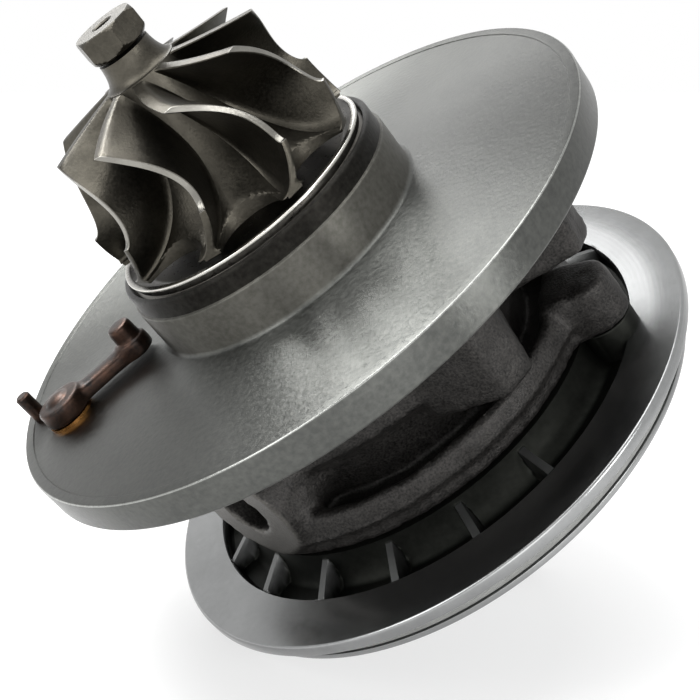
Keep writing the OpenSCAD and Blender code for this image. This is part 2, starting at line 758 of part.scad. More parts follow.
// Places of the thrust bearing's screws
module at_thrust_screws() {
  for (i = [0:2])
    at(thrust_screw_pcd_r, inlet_angle + 60 + i*120)
      children();
}

// Fixed thrust plate, with a drain notch on the side of the oil drain
module thrust_bearing() {
  notch_w = 2*drain_hole_r;
  color("darkgoldenrod")
    difference() {
      tube(thrust_r, sleeve_neck_r + recess_fit, recess_z - thrust_t, thrust_t);
      rotate([0, 0, drain_angle])
        translate([thrust_face_r + recess_fit, -notch_w/2, recess_z - thrust_t - over])
          cube([thrust_r, notch_w, thrust_t + 2*over]);
      at_thrust_screws() {
        translate([0, 0, recess_z - thrust_t - over])
          cylinder(r = thrust_screw_r + drill_fit, h = thrust_t + 2*over);
        translate([0, 0, recess_z - thrust_t - over])
          cylinder(r = thrust_head_r + drill_fit, h = over + thrust_head_h);
      }
    }
}

module thrust_bearing_screws() {
  head_z = recess_z - thrust_t;
  color("gray")
    at_thrust_screws()
      difference() {
        union() {
          translate([0, 0, head_z])
            cylinder(r = thrust_head_r, h = thrust_head_h);
          translate([0, 0, head_z])
            cylinder(r = thrust_screw_r, h = thrust_t + thrust_screw_len);
        }
        translate([0, 0, head_z - over])
          cylinder(r = thrust_socket_r, h = over + thrust_socket_h, $fn = 6);
      }
}

module thrust_sleeve() {
  groove_w = ring_w + 2*ring_fit;
  groove_r = sleeve_r - ring_t - seal_fit;
  bore_r = stub_r + stub_fit;
  neck_top_z = shaft_shoulder_z - thrust_washer_t;
  color("lightsteelblue")
    turned([
      [bore_r, neck_top_z], [sleeve_neck_r, neck_top_z],
      [sleeve_neck_r, flinger_z + flinger_t], [thrust_face_r, flinger_z + flinger_t],
      [thrust_face_r, flinger_z], [sleeve_r, flinger_z],
      [sleeve_r, ring_c_z + groove_w/2], [groove_r, ring_c_z + groove_w/2],
      [groove_r, ring_c_z - groove_w/2], [sleeve_r, ring_c_z - groove_w/2],
      [sleeve_r, comp_back_z], [bore_r, comp_back_z]]);
}

module oil_deflector() {
  wall_r = deflector_dish_r - deflector_t;
  rim_r_out = thrust_r;
  rim_top_z = deflector_rim_z + deflector_t;
  floor_top_z = deflector_floor_z + deflector_t;
  color("lightgray")
    turned([
      [wall_r, rim_top_z], [rim_r_out, rim_top_z], [rim_r_out, deflector_rim_z],
      [deflector_dish_r, deflector_rim_z], [deflector_dish_r, deflector_floor_z],
      [deflector_hole_r, deflector_floor_z], [deflector_hole_r, floor_top_z], [wall_r, floor_top_z]]);
}

module backplate_gasket() {
  color("black")
    translate([0, 0, joint_z - gasket_d/2])
      rotate_extrude()
        translate([gasket_r, 0])
          circle(d = gasket_d, $fn = 32);
}

module cover_o_ring() {
  color("black")
    translate([0, 0, cover_ring_z])
      rotate_extrude()
        translate([cover_groove_r + groove_fit + o_ring_d/2, 0])
          circle(d = o_ring_d, $fn = 32);
}

module compressor_seal_ring() {
  outer = sleeve_bore_r - stub_fit;
  color("slategray")
    split_ring(outer, outer - ring_t, ring_c_z - ring_w/2, ring_w, ring_split);
}

// Places of the backplate's screws
module at_ears() {
  for (a = ear_angles)
    at(ear_pcd_r, a)
      children();
}

// Angle between two directions, from 0 to 180
function apart(a, b) = abs((a - b + 540) % 360 - 180);

// Half section of the backplate, from its bore round to its back
function backplate_profile() =
  let (g = gasket_d/2 + groove_fit, o = o_ring_d/2 + groove_fit, foot_r = backplate_r + pocket_slope)
  concat(
    [[sleeve_bore_r, dish_room_z], [dish_room_r, dish_room_z], [dish_room_r, deflector_rim_z],
     [thrust_r, deflector_rim_z], [thrust_r, joint_z],
     [gasket_r - g, joint_z], [gasket_r - g, gasket_groove_z],
     [gasket_r + g, gasket_groove_z], [gasket_r + g, joint_z], [backplate_r, joint_z]],
    [for (i = [1:arc_steps]) quarter(foot_r, pocket_z, backplate_r, joint_z, 1 - i/arc_steps)],
    [[rim_inner_r, pocket_z], [rim_inner_r, rim_z], [rim_r - rim_chamfer, rim_z],
     [rim_r, rim_z - rim_chamfer], [rim_r, rim_seat_z], [spigot_r, rim_seat_z],
     [spigot_r, cover_ring_z + o], [cover_groove_r, cover_ring_z + o],
     [cover_groove_r, cover_ring_z - o], [spigot_r, cover_ring_z - o],
     [spigot_r, diffuser_z + rim_chamfer], [spigot_r - rim_chamfer, diffuser_z],
     [wheel_room_r, diffuser_z], [wheel_room_r, wheel_room_z], [sleeve_bore_r, wheel_room_z]]);

// A thin radial rib from the hub down to the rim, inside the pocket
module rib() {
  root_r = backplate_r - sink;
  end_r = rim_inner_r + sink;
  floor_z = pocket_z - sink;
  translate([0, rib_t/2, 0])
    rotate([90, 0, 0])
      linear_extrude(rib_t)
        polygon([[root_r, floor_z], [end_r, floor_z],
                 [end_r, rim_z - rib_drop], [root_r, joint_z - rib_drop]]);
}

module compressor_backplate() {
  color("gainsboro")
    difference() {
      union() {
        turned(backplate_profile());
        for (i = [0:rib_places - 1]) {
          angle = rib_phase + i*360/rib_places;
          if (min([for (e = ear_angles) apart(angle, e)]) > rib_free)
            rotate([0, 0, angle])
              rib();
        }
        at_ears()
          translate([0, 0, pocket_z - sink])
            cylinder(r = ear_r, h = joint_z - pocket_z + sink);
      }
      at_ears() {
        translate([0, 0, diffuser_z - over])
          cylinder(r = screw_r + drill_fit, h = diffuser_drop + 2*over);
        translate([0, 0, diffuser_z - over])
          cylinder(r = screw_head_r + drill_fit, h = screw_recess + over);
        translate([0, 0, screw_head_z])
          cylinder(r1 = screw_head_r + thread_fit, r2 = screw_r + thread_fit, h = screw_head_h);
      }
    }
}

module backplate_screws() {
  color("dimgray")
    at_ears()
      difference() {
        union() {
          translate([0, 0, screw_head_z])
            cylinder(r1 = screw_head_r, r2 = screw_r, h = screw_head_h);
          translate([0, 0, screw_head_z])
            cylinder(r = screw_r, h = screw_top_z - screw_head_z);
        }
        translate([0, 0, screw_head_z - over])
          cylinder(r = screw_socket_r, h = over + screw_socket_h, $fn = 6);
      }
}

// One compressor blade between its outlet and a share of the way to the inlet
function comp_grid(reach) = [for (i = [0:blade_steps])
  let (s = reach*i/blade_steps,
       out_r = comp_tip_r - comp_blade_in,
       hub = quarter(out_r, comp_back_t - comp_sunk, comp_nose_r - comp_root_t/2, comp_in_h, s),
       shroud = quarter(out_r, comp_back_t + comp_out_w, comp_in_r, comp_in_h, s))
  [for (j = [0:span_steps])
    let (p = between(hub, shroud, j/span_steps))
    [p[0], p[1], comp_wrap*s]]];

// Share of the way to the inlet at which the splitter blades start
splitter_reach = 0.7;

module compressor_wheel() {
  pitch = 360/comp_blades;
  color("lightgray")
    translate([0, 0, comp_back_z])
      mirror([0, 0, 1])
        rotate([0, 0, rotor_phase])
          difference() {
            union() {
              turned(concat(
                wheel_hub(comp_tip_r, comp_back_t, comp_nose_r, comp_curve_h),
                [[comp_nose_r, comp_h], [0, comp_h]]));
              for (i = [0:comp_blades - 1]) {
                rotate([0, 0, i*pitch])
                  blade(comp_grid(1), comp_root_t, comp_blade_t);
                rotate([0, 0, (i + 1/2)*pitch])
                  blade(comp_grid(splitter_reach), comp_root_t, comp_blade_t);
              }
            }
            translate([0, 0, -over])
              cylinder(r = stub_r + stub_fit, h = comp_h + 2*over);
          }
}

module compressor_nut() {
  color("darkgray")
    difference() {
      union() {
        hexagon(nut_hex_r, nut_end_z, nut_hex_h);
        translate([0, 0, comp_nose_z - nut_flange_t])
          cylinder(r = nut_flange_r, h = nut_flange_t);
      }
      translate([0, 0, nut_end_z - over])
        cylinder(r = stub_r + stub_fit, h = nut_hex_h + nut_flange_t + 2*over);
    }
}

// Half section of the disc and the hub
function flange_profile() =
  let (f = flange_round, c = collar_round)
  concat(
    [[0, -flange_t]],
    arc(flange_r - f, f - flange_t, f, -90, 0),
    arc(flange_r - f, seat_h - f, f, 0, 90),
    [[flange_r - seat_w, seat_h], [flange_r - seat_w, 0],
     [hub_r, 0], [hub_r, hub_h - hub_step/2], [hub_r - hub_step/2, hub_h], [collar_r, hub_h]],
    arc(collar_r - c, collar_top_z - c, c, 0, 90),
    [[shield_seat_r, collar_top_z], [shield_seat_r, hub_floor_z], [0, hub_floor_z]]);

// Half section of the core and of the ring round its foot
function core_profile() =
  let (c = cast_round, wall_r = ring_wall_r - ring_wall_t, top_z = joint_z + ring_wall_h,
       floor_z = joint_z + ring_floor_t)
  concat(
    [[0, -flange_t], [core_r + c, -flange_t], [core_r, -flange_t - c], [core_r, top_z + core_taper_h]],
    [for (i = [1:2*arc_steps])
      quarter(core_r, top_z + core_taper_h, core_foot_r, floor_z + c, i/(2*arc_steps))],
    [[core_foot_r, floor_z], [wall_r, floor_z]],
    arc(ring_wall_r - c, top_z - c, c, 180, 0),
    [[ring_wall_r, joint_z], [0, joint_z]]);

// A cast lug between the core and the underside of the flange, narrower at its end
module lug(reach, drop) {
  translate([0, 0, -drop])
    linear_extrude(drop - flange_t)
      polygon([[0, -lug_root_w/2], [core_r - over, -lug_root_w/2], [reach, -lug_tip_w/2],
               [reach, lug_tip_w/2], [core_r - over, lug_root_w/2], [0, lug_root_w/2]]);
}

// A screw ear that stands out from the ring
module ear() {
  linear_extrude(ear_h)
    union() {
      circle(r = ear_r);
      translate([-ear_out - ring_wall_t, -ear_r])
        square([ear_out + ring_wall_t, 2*ear_r]);
    }
}

// Flange of the oil drain: two round ends and a straight middle
module drain_pad() {
  end = drain_pitch/2 + drain_end_r - drain_half_h;
  linear_extrude(drain_face)
    union() {
      for (side = [-1, 1])
        translate([0, side*end])
          circle(r = drain_half_h);
      square([2*drain_half_h, 2*end], center = true);
    }
}

module cast_body() {
  turned(core_profile());
  for (i = [0:len(lug_angles) - 1])
    rotate([0, 0, lug_angles[i]])
      lug(lug_reach[i], lug_drop[i]);
  at_ears()
    translate([0, 0, joint_z])
      ear();
  outwards(inlet_angle, inlet_z)
    cylinder(r = inlet_boss_r, h = inlet_face);
  outwards(drain_angle, drain_z)
    drain_pad();
}

// Bores of the rotor, its bearings and clips, turned from both ends
module rotor_bores() {
  translate([0, 0, gallery_top_z - over])
    cylinder(r = seal_bore_r, h = hub_floor_z - gallery_top_z + 2*over);
  translate([0, 0, bore_top_z])
    cylinder(r = gallery_r, h = gallery_end_h);
  translate([0, 0, washer_bore_z - over])
    cylinder(r = bearing_bore_r, h = bore_top_z - washer_bore_z + 2*over);
  for (z = clip_zs)
    translate([0, 0, z])
      cylinder(r = clip_outer_r + clip_play, h = clip_groove_h);
  translate([0, 0, gallery_mid_z])
    cylinder(r = gallery_r, h = gallery_h);
  translate([0, 0, recess_z - over])
    cylinder(r = thrust_face_r + thrust_clear, h = washer_bore_z - recess_z + over);
  translate([0, 0, joint_z - over])
    cylinder(r = recess_r, h = recess_z - joint_z + over);
}

module oil_drillings() {
  outwards(inlet_angle, inlet_z) {
    translate([0, 0, inlet_face - inlet_depth])
      cylinder(r = inlet_hole_r, h = inlet_depth + over);
    translate([0, 0, journal_r])
      cylinder(r = feed_r, h = inlet_face - journal_r);
  }
  outwards(drain_angle, drain_z) {
    translate([0, 0, drain_start])
      cylinder(r = drain_hole_r, h = drain_face);
    for (side = [-1, 1])
      translate([0, side*drain_pitch/2, drain_face - drain_screw_h])
        cylinder(r = drain_screw_r, h = drain_screw_h + over);
  }
  at(drain_start, drain_angle, drain_z)
    cylinder(r = return_r, h = bore_top_z - drain_z + sink);
  at(scupper_pcd_r, drain_angle, recess_z - over)
    cylinder(r = scupper_r, h = drain_z - recess_z + over);
}

module bearing_housing() {
  color("gray")
    difference() {
      cast_body();
      rotor_bores();
      oil_drillings();
      at_thrust_screws()
        translate([0, 0, recess_z - over])
          cylinder(r = thrust_screw_r + thread_fit, h = thrust_screw_len + over + drill_fit);
      at_ears()
        translate([0, 0, joint_z - over])
          cylinder(r = screw_r + thread_fit, h = screw_grip + over + drill_fit);
    }
}

// Turned disc and hub of the housing, which meet the raw casting in the plane of the disc's underside
module turbine_disc() {
  color("gray")
    difference() {
      turned(flange_profile());
      rotor_bores();
      oil_drillings();
      at(crank_pivot_r, crank_pivot_angle, -flange_t - over)
        cylinder(r = bush_r + thread_fit, h = flange_t + 2*over);
      at(pin_pcd_r, pin_angle, -pin_sunk)
        cylinder(r = pin_r + thread_fit, h = pin_sunk + over);
    }
}

module locating_pin() {
  length = pin_sunk + pin_h;
  color("black")
    at(pin_pcd_r, pin_angle, -pin_sunk)
      turned([[0, 0], [pin_r, 0], [pin_r, length - pin_chamfer], [pin_r - pin_chamfer, length], [0, length]]);
}

module crank_bush() {
  bore_r = crank_shaft_r + crank_fit;
  color("sienna")
    at(crank_pivot_r, crank_pivot_angle) {
      tube(bush_r, bore_r, bush_end_z, bush_flange_t - bush_end_z);
      tube(crank_eye_r, bore_r, 0, bush_flange_t);
    }
}

// Outline of a link: two round ends and their common tangents
module link(r1, r2, length) {
  a = acos((r1 - r2)/length);
  circle(r = r1);
  translate([length, 0])
    circle(r = r2);
  polygon([[r1*cos(a), r1*sin(a)], [r1*cos(a), -r1*sin(a)],
           [length + r2*cos(a), -r2*sin(a)], [length + r2*cos(a), r2*sin(a)]]);
}

module vane_crank() {
  flat_r = crank_shaft_r - crank_flat;
  color("black")
    at(crank_pivot_r, crank_pivot_angle)
      rotate([0, 0, crank_dir - crank_pivot_angle]) {
        translate([0, 0, crank_z])
          linear_extrude(crank_t)
            link(crank_eye_r, crank_tip_r, crank_len);
        translate([crank_len, 0, crank_z])
          cylinder(r = finger_r, h = crank_t + finger_h);
        difference() {
          translate([0, 0, crank_end_z + crank_flat_len])
            cylinder(r = crank_shaft_r, h = crank_z - crank_end_z - crank_flat_len);
          tube(crank_shaft_r + over, crank_neck_r, crank_clip_z - crank_fit, crank_clip_t + 2*crank_fit);
        }
        translate([0, 0, crank_end_z])
          intersection() {
            cylinder(r = crank_shaft_r - crank_end_step, h = crank_flat_len + sink);
            translate([-crank_shaft_r, -flat_r, 0])
              cube([2*crank_shaft_r, 2*flat_r, crank_flat_len + sink]);
          }
      }
}

module crank_clip() {
  color("gray")
    at(crank_pivot_r, crank_pivot_angle)
      split_ring(bush_r + crank_clip_past, crank_neck_r + crank_fit, crank_clip_z, crank_clip_t,
                 2*crank_neck_r);
}

bearing_housing();
turbine_disc();
turbine_wheel();
heat_shield();
compressor_backplate();
locating_pin();
vane_crank();
crank_bush();
crank_clip();
backplate_screws();
rotor_shaft();
turbine_seal_ring();
journal_bearing_turbine();
journal_bearing_compressor();
bearing_circlips();
thrust_washer();
thrust_bearing();
thrust_bearing_screws();
thrust_sleeve();
oil_deflector();
backplate_gasket();
compressor_seal_ring();
compressor_wheel();
compressor_nut();
cover_o_ring();
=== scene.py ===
# %% [markdown]
# # A turbo cartridge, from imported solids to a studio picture
# The object is the core of a small passenger-car turbocharger: an exhaust turbine and an air compressor on
# one shaft, in a cast-iron housing with a turned disc at one end and a ribbed aluminium plate at the other.
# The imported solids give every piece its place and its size. This lesson works out the cast, bladed and turned
# surfaces with numpy around them, and gives each metal the finish that its making leaves on it.

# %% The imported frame
import json
import math

import bmesh
import bpy
import numpy as np
from mathutils import Matrix

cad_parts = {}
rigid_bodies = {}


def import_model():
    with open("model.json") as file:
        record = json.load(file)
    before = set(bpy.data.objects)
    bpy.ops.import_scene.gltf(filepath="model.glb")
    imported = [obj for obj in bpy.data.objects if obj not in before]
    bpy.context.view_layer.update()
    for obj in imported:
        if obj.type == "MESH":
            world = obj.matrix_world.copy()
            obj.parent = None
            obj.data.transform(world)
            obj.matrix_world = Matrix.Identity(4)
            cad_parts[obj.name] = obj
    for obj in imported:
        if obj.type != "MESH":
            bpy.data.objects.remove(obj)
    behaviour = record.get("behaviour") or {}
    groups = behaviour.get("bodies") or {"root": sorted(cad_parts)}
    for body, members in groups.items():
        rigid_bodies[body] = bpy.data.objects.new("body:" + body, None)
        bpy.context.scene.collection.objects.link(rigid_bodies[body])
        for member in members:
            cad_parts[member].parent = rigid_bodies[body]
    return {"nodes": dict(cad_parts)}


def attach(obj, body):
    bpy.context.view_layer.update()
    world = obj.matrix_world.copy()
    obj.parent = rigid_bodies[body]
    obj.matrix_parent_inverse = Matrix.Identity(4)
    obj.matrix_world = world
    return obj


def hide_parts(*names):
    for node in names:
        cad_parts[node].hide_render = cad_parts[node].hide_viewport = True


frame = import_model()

MM = 0.001
TAU = 2*math.pi
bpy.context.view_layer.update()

# %% [markdown]
# ## The camera
# The photograph looks down on the disc from beside it, with the rotor axis leaning to the upper left. The
# place, the point looked at and the roll were fitted to edges whose size is known, such as the rim of the
# disc. A matrix made of the three directions is easier to check than Euler angles.

# %% Camera
# Places, lens, sensor and nearest distance are in mm
CAMERA_PLACE = np.array([79.85, -170.49, 72.57])
CAMERA_TARGET = np.array([1.50, -8.74, -17.08])
CAMERA_ROLL = math.radians(-39.76)
CAMERA_LENS = 66.49
CAMERA_SENSOR = 36.0
CAMERA_NEAR = 10.0


def unit(v):
    """The vector of length one along v."""
    return np.asarray(v, float)/np.linalg.norm(v)


def in_scene(name, data):
    """A new object with this data, linked to the scene."""
    made = bpy.data.objects.new(name, data)
    bpy.context.scene.collection.objects.link(made)
    return made


def standing(right, up, back, at):
    """The matrix of an object at a point in mm: its X, Y and Z directions and its place are the columns."""
    return Matrix(np.vstack([np.column_stack([right, up, back, at*MM]), [0, 0, 0, 1]]).tolist())


forward = unit(CAMERA_TARGET - CAMERA_PLACE)
level = unit(np.cross(forward, (0, 0, 1)))
image_right = math.cos(CAMERA_ROLL)*level + math.sin(CAMERA_ROLL)*np.cross(level, forward)
image_up = np.cross(image_right, forward)

camera = in_scene("photo_camera", bpy.data.cameras.new("photo_camera"))
camera.data.lens = CAMERA_LENS
camera.data.sensor_width = CAMERA_SENSOR
camera.data.clip_start = CAMERA_NEAR*MM
camera.matrix_world = standing(image_right, image_up, -forward, CAMERA_PLACE)
bpy.context.scene.camera = camera
print("camera at", CAMERA_PLACE, "mm, looking along", forward.round(3))

# %% [markdown]
# ## Nodes and colours
# Every finish below is a small node tree. One function adds a node, sets its properties and fills its sockets
# with numbers or links. Colours are written as sRGB hex, as a colour picker shows them, and Blender wants
# linear light, so another function turns one into the other.

# %% Node and colour helpers
def linear(hex_colour):
    """sRGB hex to linear: c/12.92 below 0.04045, else ((c + 0.055)/1.055)**2.4."""
    c = np.array([int(hex_colour[i:i + 2], 16) for i in (1, 3, 5)])/255
    return (*np.where(c <= 0.04045, c/12.92, ((c + 0.055)/1.055)**2.4), 1.0)


def add_node(tree, kind, sockets=None, **settings):
    """Adds a node with its settings. A socket, by name or number, gets a value or a link from an output."""
    made = tree.nodes.new(kind)
    for key, value in settings.items():
        setattr(made, key, value)
    for key, value in (sockets or {}).items():
        if isinstance(value, bpy.types.NodeSocket):
            tree.links.new(value, made.inputs[key])
        else:
            made.inputs[key].default_value = value
    return made


# %% [markdown]
# ## One recipe for metal
# The metals differ in a few ways: two tones in patches, a grain that breaks up tone, gloss and bump, and the
# rings of a lathe. One function makes the node tree, so each metal is a row of sizes and colours. Where a piece
# has a second finish, painted shade or a painted highlight, an attribute on its points says where.

# %% Metal recipe
# Noise keeps near the middle of its range, so these parts of it are stretched to full contrast
TONE_RANGE = (0.36, 0.64)
GLOSS_RANGE = (0.3, 0.7)
# A wave texture of scale 1 repeats after this length
WAVE_LENGTH = TAU/20
# A quarter turn spreads a highlight across the marks of the lathe instead of along them
ACROSS_MARKS = 0.25


def metal(name, dark, light, patch, rough, grain, depth, metallic=1.0, speckle=0.25, rings=None, brushed=0.0,
          masks=()):
    """A metal: two tones in patches, roughness and bump from a grain, with patch, grain and depth in mm.

    speckle is the share of the grain in the tone. rings is (pitch, depth) of the marks that a lathe leaves
    about the Z axis, brushed the anisotropy that goes with them. Each mask is (attribute, dark, light,
    roughness) of another tone where the attribute is one: another finish, painted shade or a painted highlight.
    """
    made = bpy.data.materials.new(name)
    made.use_nodes = True
    tree = made.node_tree
    shader = tree.nodes["Principled BSDF"]
    place = add_node(tree, "ShaderNodeTexCoord").outputs["Object"]
    patches = add_node(tree, "ShaderNodeTexNoise", {
        "Vector": place, "Scale": 1/(patch*MM), "Detail": 5.0, "Roughness": 0.6}).outputs["Fac"]
    grains = add_node(tree, "ShaderNodeTexNoise", {
        "Vector": place, "Scale": 1/(grain*MM), "Detail": 3.0, "Roughness": 0.55}).outputs["Fac"]
    both = add_node(tree, "ShaderNodeMix", {0: speckle, 2: patches, 3: grains}).outputs[0]
    spread = add_node(tree, "ShaderNodeMapRange", {
        "Value": both, "From Min": TONE_RANGE[0], "From Max": TONE_RANGE[1]}).outputs["Result"]
    tone = add_node(tree, "ShaderNodeMix", {0: spread, 6: linear(dark), 7: linear(light)},
                    data_type="RGBA").outputs[2]
    gloss = add_node(tree, "ShaderNodeMapRange", {
        "Value": grains, "From Min": GLOSS_RANGE[0], "From Max": GLOSS_RANGE[1],
        "To Min": rough[0], "To Max": rough[1]}).outputs["Result"]
    for attribute, dark_too, light_too, rough_too in masks:
        share = add_node(tree, "ShaderNodeAttribute", attribute_name=attribute).outputs["Fac"]
        tone_too = add_node(tree, "ShaderNodeMix", {0: spread, 6: linear(dark_too), 7: linear(light_too)},
                            data_type="RGBA").outputs[2]
        tone = add_node(tree, "ShaderNodeMix", {0: share, 6: tone, 7: tone_too}, data_type="RGBA").outputs[2]
        gloss = add_node(tree, "ShaderNodeMix", {0: share, 2: gloss, 3: rough_too}).outputs[0]
    normal = add_node(tree, "ShaderNodeBump", {
        "Height": grains, "Distance": depth*MM, "Strength": 1.0}).outputs["Normal"]
    if rings:
        pitch, groove = rings
        marks = add_node(tree, "ShaderNodeTexWave", {
            "Vector": place, "Scale": WAVE_LENGTH/(pitch*MM),
            "Distortion": 1.5, "Detail": 2.0, "Detail Scale": 0.3},
            wave_type="RINGS", rings_direction="Z").outputs["Fac"]
        normal = add_node(tree, "ShaderNodeBump", {
            "Height": marks, "Distance": groove*MM, "Strength": 1.0, "Normal": normal}).outputs["Normal"]
    for socket, output in (("Base Color", tone), ("Roughness", gloss), ("Normal", normal)):
        tree.links.new(output, shader.inputs[socket])
    shader.inputs["Metallic"].default_value = metallic
    if brushed:
        shader.inputs["Anisotropic"].default_value = brushed
        shader.inputs["Anisotropic Rotation"].default_value = ACROSS_MARKS
        around = add_node(tree, "ShaderNodeTangent", direction_type="RADIAL", axis="Z").outputs["Tangent"]
        tree.links.new(around, shader.inputs["Tangent"])
    return made


# %% [markdown]
# ## The finishes
# Each metal is named for what it is and how its surface was made. The housing is one iron casting with two
# finishes: the sand mould leaves a dark pebbled skin, and the disc is turned and lightly blasted, which leaves
# a satin grey with faint rings. Its collar under the shield's rim is painted dark as shade, and its edge is
# painted lighter, partly wear and partly a painted highlight. The turbine wheel is cast from a nickel alloy in a
# ceramic shell, dark and glossy. The backplate is die cast, so its pockets are dull, and they are painted darker
# still as shade; its rim, turned for the cover, shines.
#
# A lathe's feed marks lie 0.1 to 0.2 mm apart and blasting leaves pits of about 0.1 mm. Both are finer than a
# pixel here, so they are drawn at 0.3 to 0.9 mm, which shows.

# %% Materials
FINISH = {
    # Satin grey with a pebbled sparkle and faint rings, both drawn coarser than they are. The hub is warmer
    # and duller, the collar painted dark as shade under the shield's rim, the edge painted lighter, partly wear
    # and partly a painted highlight
    "disc": metal("grey_iron_turned_and_blasted", "#4c4d4b", "#5b5c59", 8, (0.3, 0.38), 0.85, 0.03,
                  speckle=0.7, rings=(0.9, 0.0015), brushed=0.95,
                  masks=[("hub", "#504f4a", "#5f5e59", 0.45), ("collar_painted_shade", "#1d1c1a", "#2c2b28", 0.5),
                         ("worn", "#868784", "#989996", 0.25)]),
    # Near black and dull with sandy pits left by the mould, grey where the oil ports are faced
    "casting": metal("grey_iron_sand_cast", "#11100f", "#3c3a38", 4, (0.42, 0.6), 0.35, 0.08, metallic=0.65,
                     speckle=0.75, masks=[("faced", "#4d4b48", "#63615d", 0.4)]),
    # Dark and glossy, brown where heat tinted it, with lighter edges ground to the turbine housing's bore;
    # the nose's end gets half that light tone as a painted highlight
    "turbine": metal("nickel_alloy_lost_wax_cast", "#33312c", "#4d4a43", 7, (0.34, 0.44), 0.4, 0.03,
                     masks=[("ground", "#6f6d68", "#84827c", 0.3)]),
    # Smooth rolled sheet, dulled by heat, with a rim painted bright, partly wear and partly a painted highlight
    "shield": metal("stainless_steel_pressed", "#4b4945", "#625f5a", 6, (0.26, 0.36), 0.6, 0.01, brushed=0.3,
                    masks=[("worn", "#b0aea8", "#c4c2bc", 0.2)]),
    # A bright turned rim with rings drawn coarser than they are, and a dull cast skin in the pockets, painted
    # near black as shade, with rib tops painted lighter as a highlight
    "backplate": metal("aluminium_die_cast_and_turned", "#898a8a", "#959696", 14, (0.24, 0.27), 0.9, 0.002,
                       rings=(0.8, 0.001), brushed=0.3, masks=[("cast", "#181917", "#2a2b28", 0.5)]),
    # Bright milled aluminium with fine cutter marks
    "wheel": metal("aluminium_milled", "#b9bcbe", "#cfd2d4", 6, (0.22, 0.3), 0.5, 0.012,
                   masks=[("ground", "#d3d5d7", "#e0e2e4", 0.18)]),
    # Near black with a brown tinge, slightly oily
    "black": metal("steel_heat_blackened", "#1b1918", "#3f2d24", 2.5, (0.28, 0.42), 0.5, 0.02, metallic=0.85),
    # Warm yellow-brown with rings from the lathe, drawn coarser than they are
    "bronze": metal("tin_bronze_turned", "#9a6a3a", "#b5844c", 4, (0.24, 0.34), 0.4, 0.01, rings=(0.3, 0.006)),
    # Dark blue-grey from tempering
    "spring": metal("spring_steel_tempered", "#4a4d55", "#63666d", 3, (0.26, 0.36), 0.4, 0.01),
    # Grey phosphated screws
    "screw": metal("steel_phosphated", "#3f4042", "#56575a", 3, (0.4, 0.52), 0.4, 0.02, metallic=0.9),
    # Bright and finely ground, with grinding marks drawn coarser than they are
    "shaft": metal("alloy_steel_ground", "#a2a4a6", "#b9bbbd", 5, (0.14, 0.22), 0.4, 0.004, rings=(0.3, 0.003)),
    # Matt black with the bloom of a moulding
    "rubber": metal("nitrile_rubber_moulded", "#141414", "#202021", 4, (0.5, 0.65), 0.4, 0.01, metallic=0.0),
    # Soft grey, dull and a little dusty
    "silicone": metal("silicone_rubber_moulded", "#8d8e8c", "#a3a4a1", 4, (0.5, 0.65), 0.4, 0.01, metallic=0.0),
}
print(len(FINISH), "finishes")

# %% [markdown]
# ## Surfaces from arrays
# Almost every form here is a profile carried round an axis or a grid of two parameters, so three helpers do
# most of the work: one makes the quads of a grid, one rounds the corners of an outline, and one carries an
# outline round Z. Computing whole arrays keeps the formulas readable and fast.

# %% Grid helpers
def grid_faces(rows, columns, around_rows=False):
    """Quads of a grid of points stored row by row. Each row joins its end to its start, and so may the rows."""
    i, j = np.meshgrid(np.arange(rows if around_rows else rows - 1), np.arange(columns), indexing="ij")
    i2 = (i + 1) % rows
    j2 = (j + 1) % columns
    return np.stack([i*columns + j, i*columns + j2, i2*columns + j2, i2*columns + j], -1).reshape(-1, 4)


def shell(points, faces):
    """A closed shell facing outwards: six times its volume is the sum of a . (b x c) over its triangles."""
    a, b, c, d = (points[faces[:, k]] for k in range(4))
    volume = np.sum(a*(np.cross(b, c) + np.cross(c, d)))
    return points, faces if volume > 0 else faces[:, ::-1]


def rounded(corners, steps=5):
    """A closed outline through corners of [x, y, radius], with an arc that touches both sides at each corner."""
    made = []
    for k, (x, y, radius) in enumerate(corners):
        corner = np.array([x, y])
        to_last = unit(np.array(corners[k - 1][:2]) - corner)
        to_next = unit(np.array(corners[(k + 1) % len(corners)][:2]) - corner)
        half = math.acos(np.clip(to_last @ to_next, -1, 1))/2
        if radius == 0 or abs(half - math.pi/2) < 1e-6:
            made.append(corner)
            continue
        centre = corner + unit(to_last + to_next)*radius/math.sin(half)
        start = corner + to_last*radius/math.tan(half) - centre
        end = corner + to_next*radius/math.tan(half) - centre
        sweep = math.pi - 2*half
        for s in np.linspace(0, 1, steps + 1):
            made.append(centre + (start*math.sin((1 - s)*sweep) + end*math.sin(s*sweep))/math.sin(sweep))
    return np.array(made)


def turned(outline, columns=192, reshape=None):
    """A closed outline of [r, z] carried round Z: x = r cos t, y = r sin t. reshape(r, z, t) moves r and z."""
    t = np.linspace(0, TAU, columns, endpoint=False) if isinstance(columns, int) else columns
    r, z = (np.repeat(outline[:, k:k + 1], len(t), 1) for k in (0, 1))
    if reshape:
        r, z = reshape(r, z, t[None, :])
    points = np.stack([r*np.cos(t), r*np.sin(t), z], -1).reshape(-1, 3)
    return shell(points, grid_faces(len(outline), len(t), around_rows=True))


def spun(shape, angle):
    """A shell turned about Z by an angle in degrees."""
    points, faces = shape
    a = math.radians(angle)
    turn = np.array([[math.cos(a), -math.sin(a), 0], [math.sin(a), math.cos(a), 0], [0, 0, 1]])
    return points @ turn.T, faces


def quarter(r1, z1, r2, z2, s):
    """A quarter of an ellipse from [r1, z1], where it runs inwards, to [r2, z2], where it runs along Z."""
    return np.stack([r1 + (r2 - r1)*np.sin(s*math.pi/2), z2 + (z1 - z2)*np.cos(s*math.pi/2)], -1)


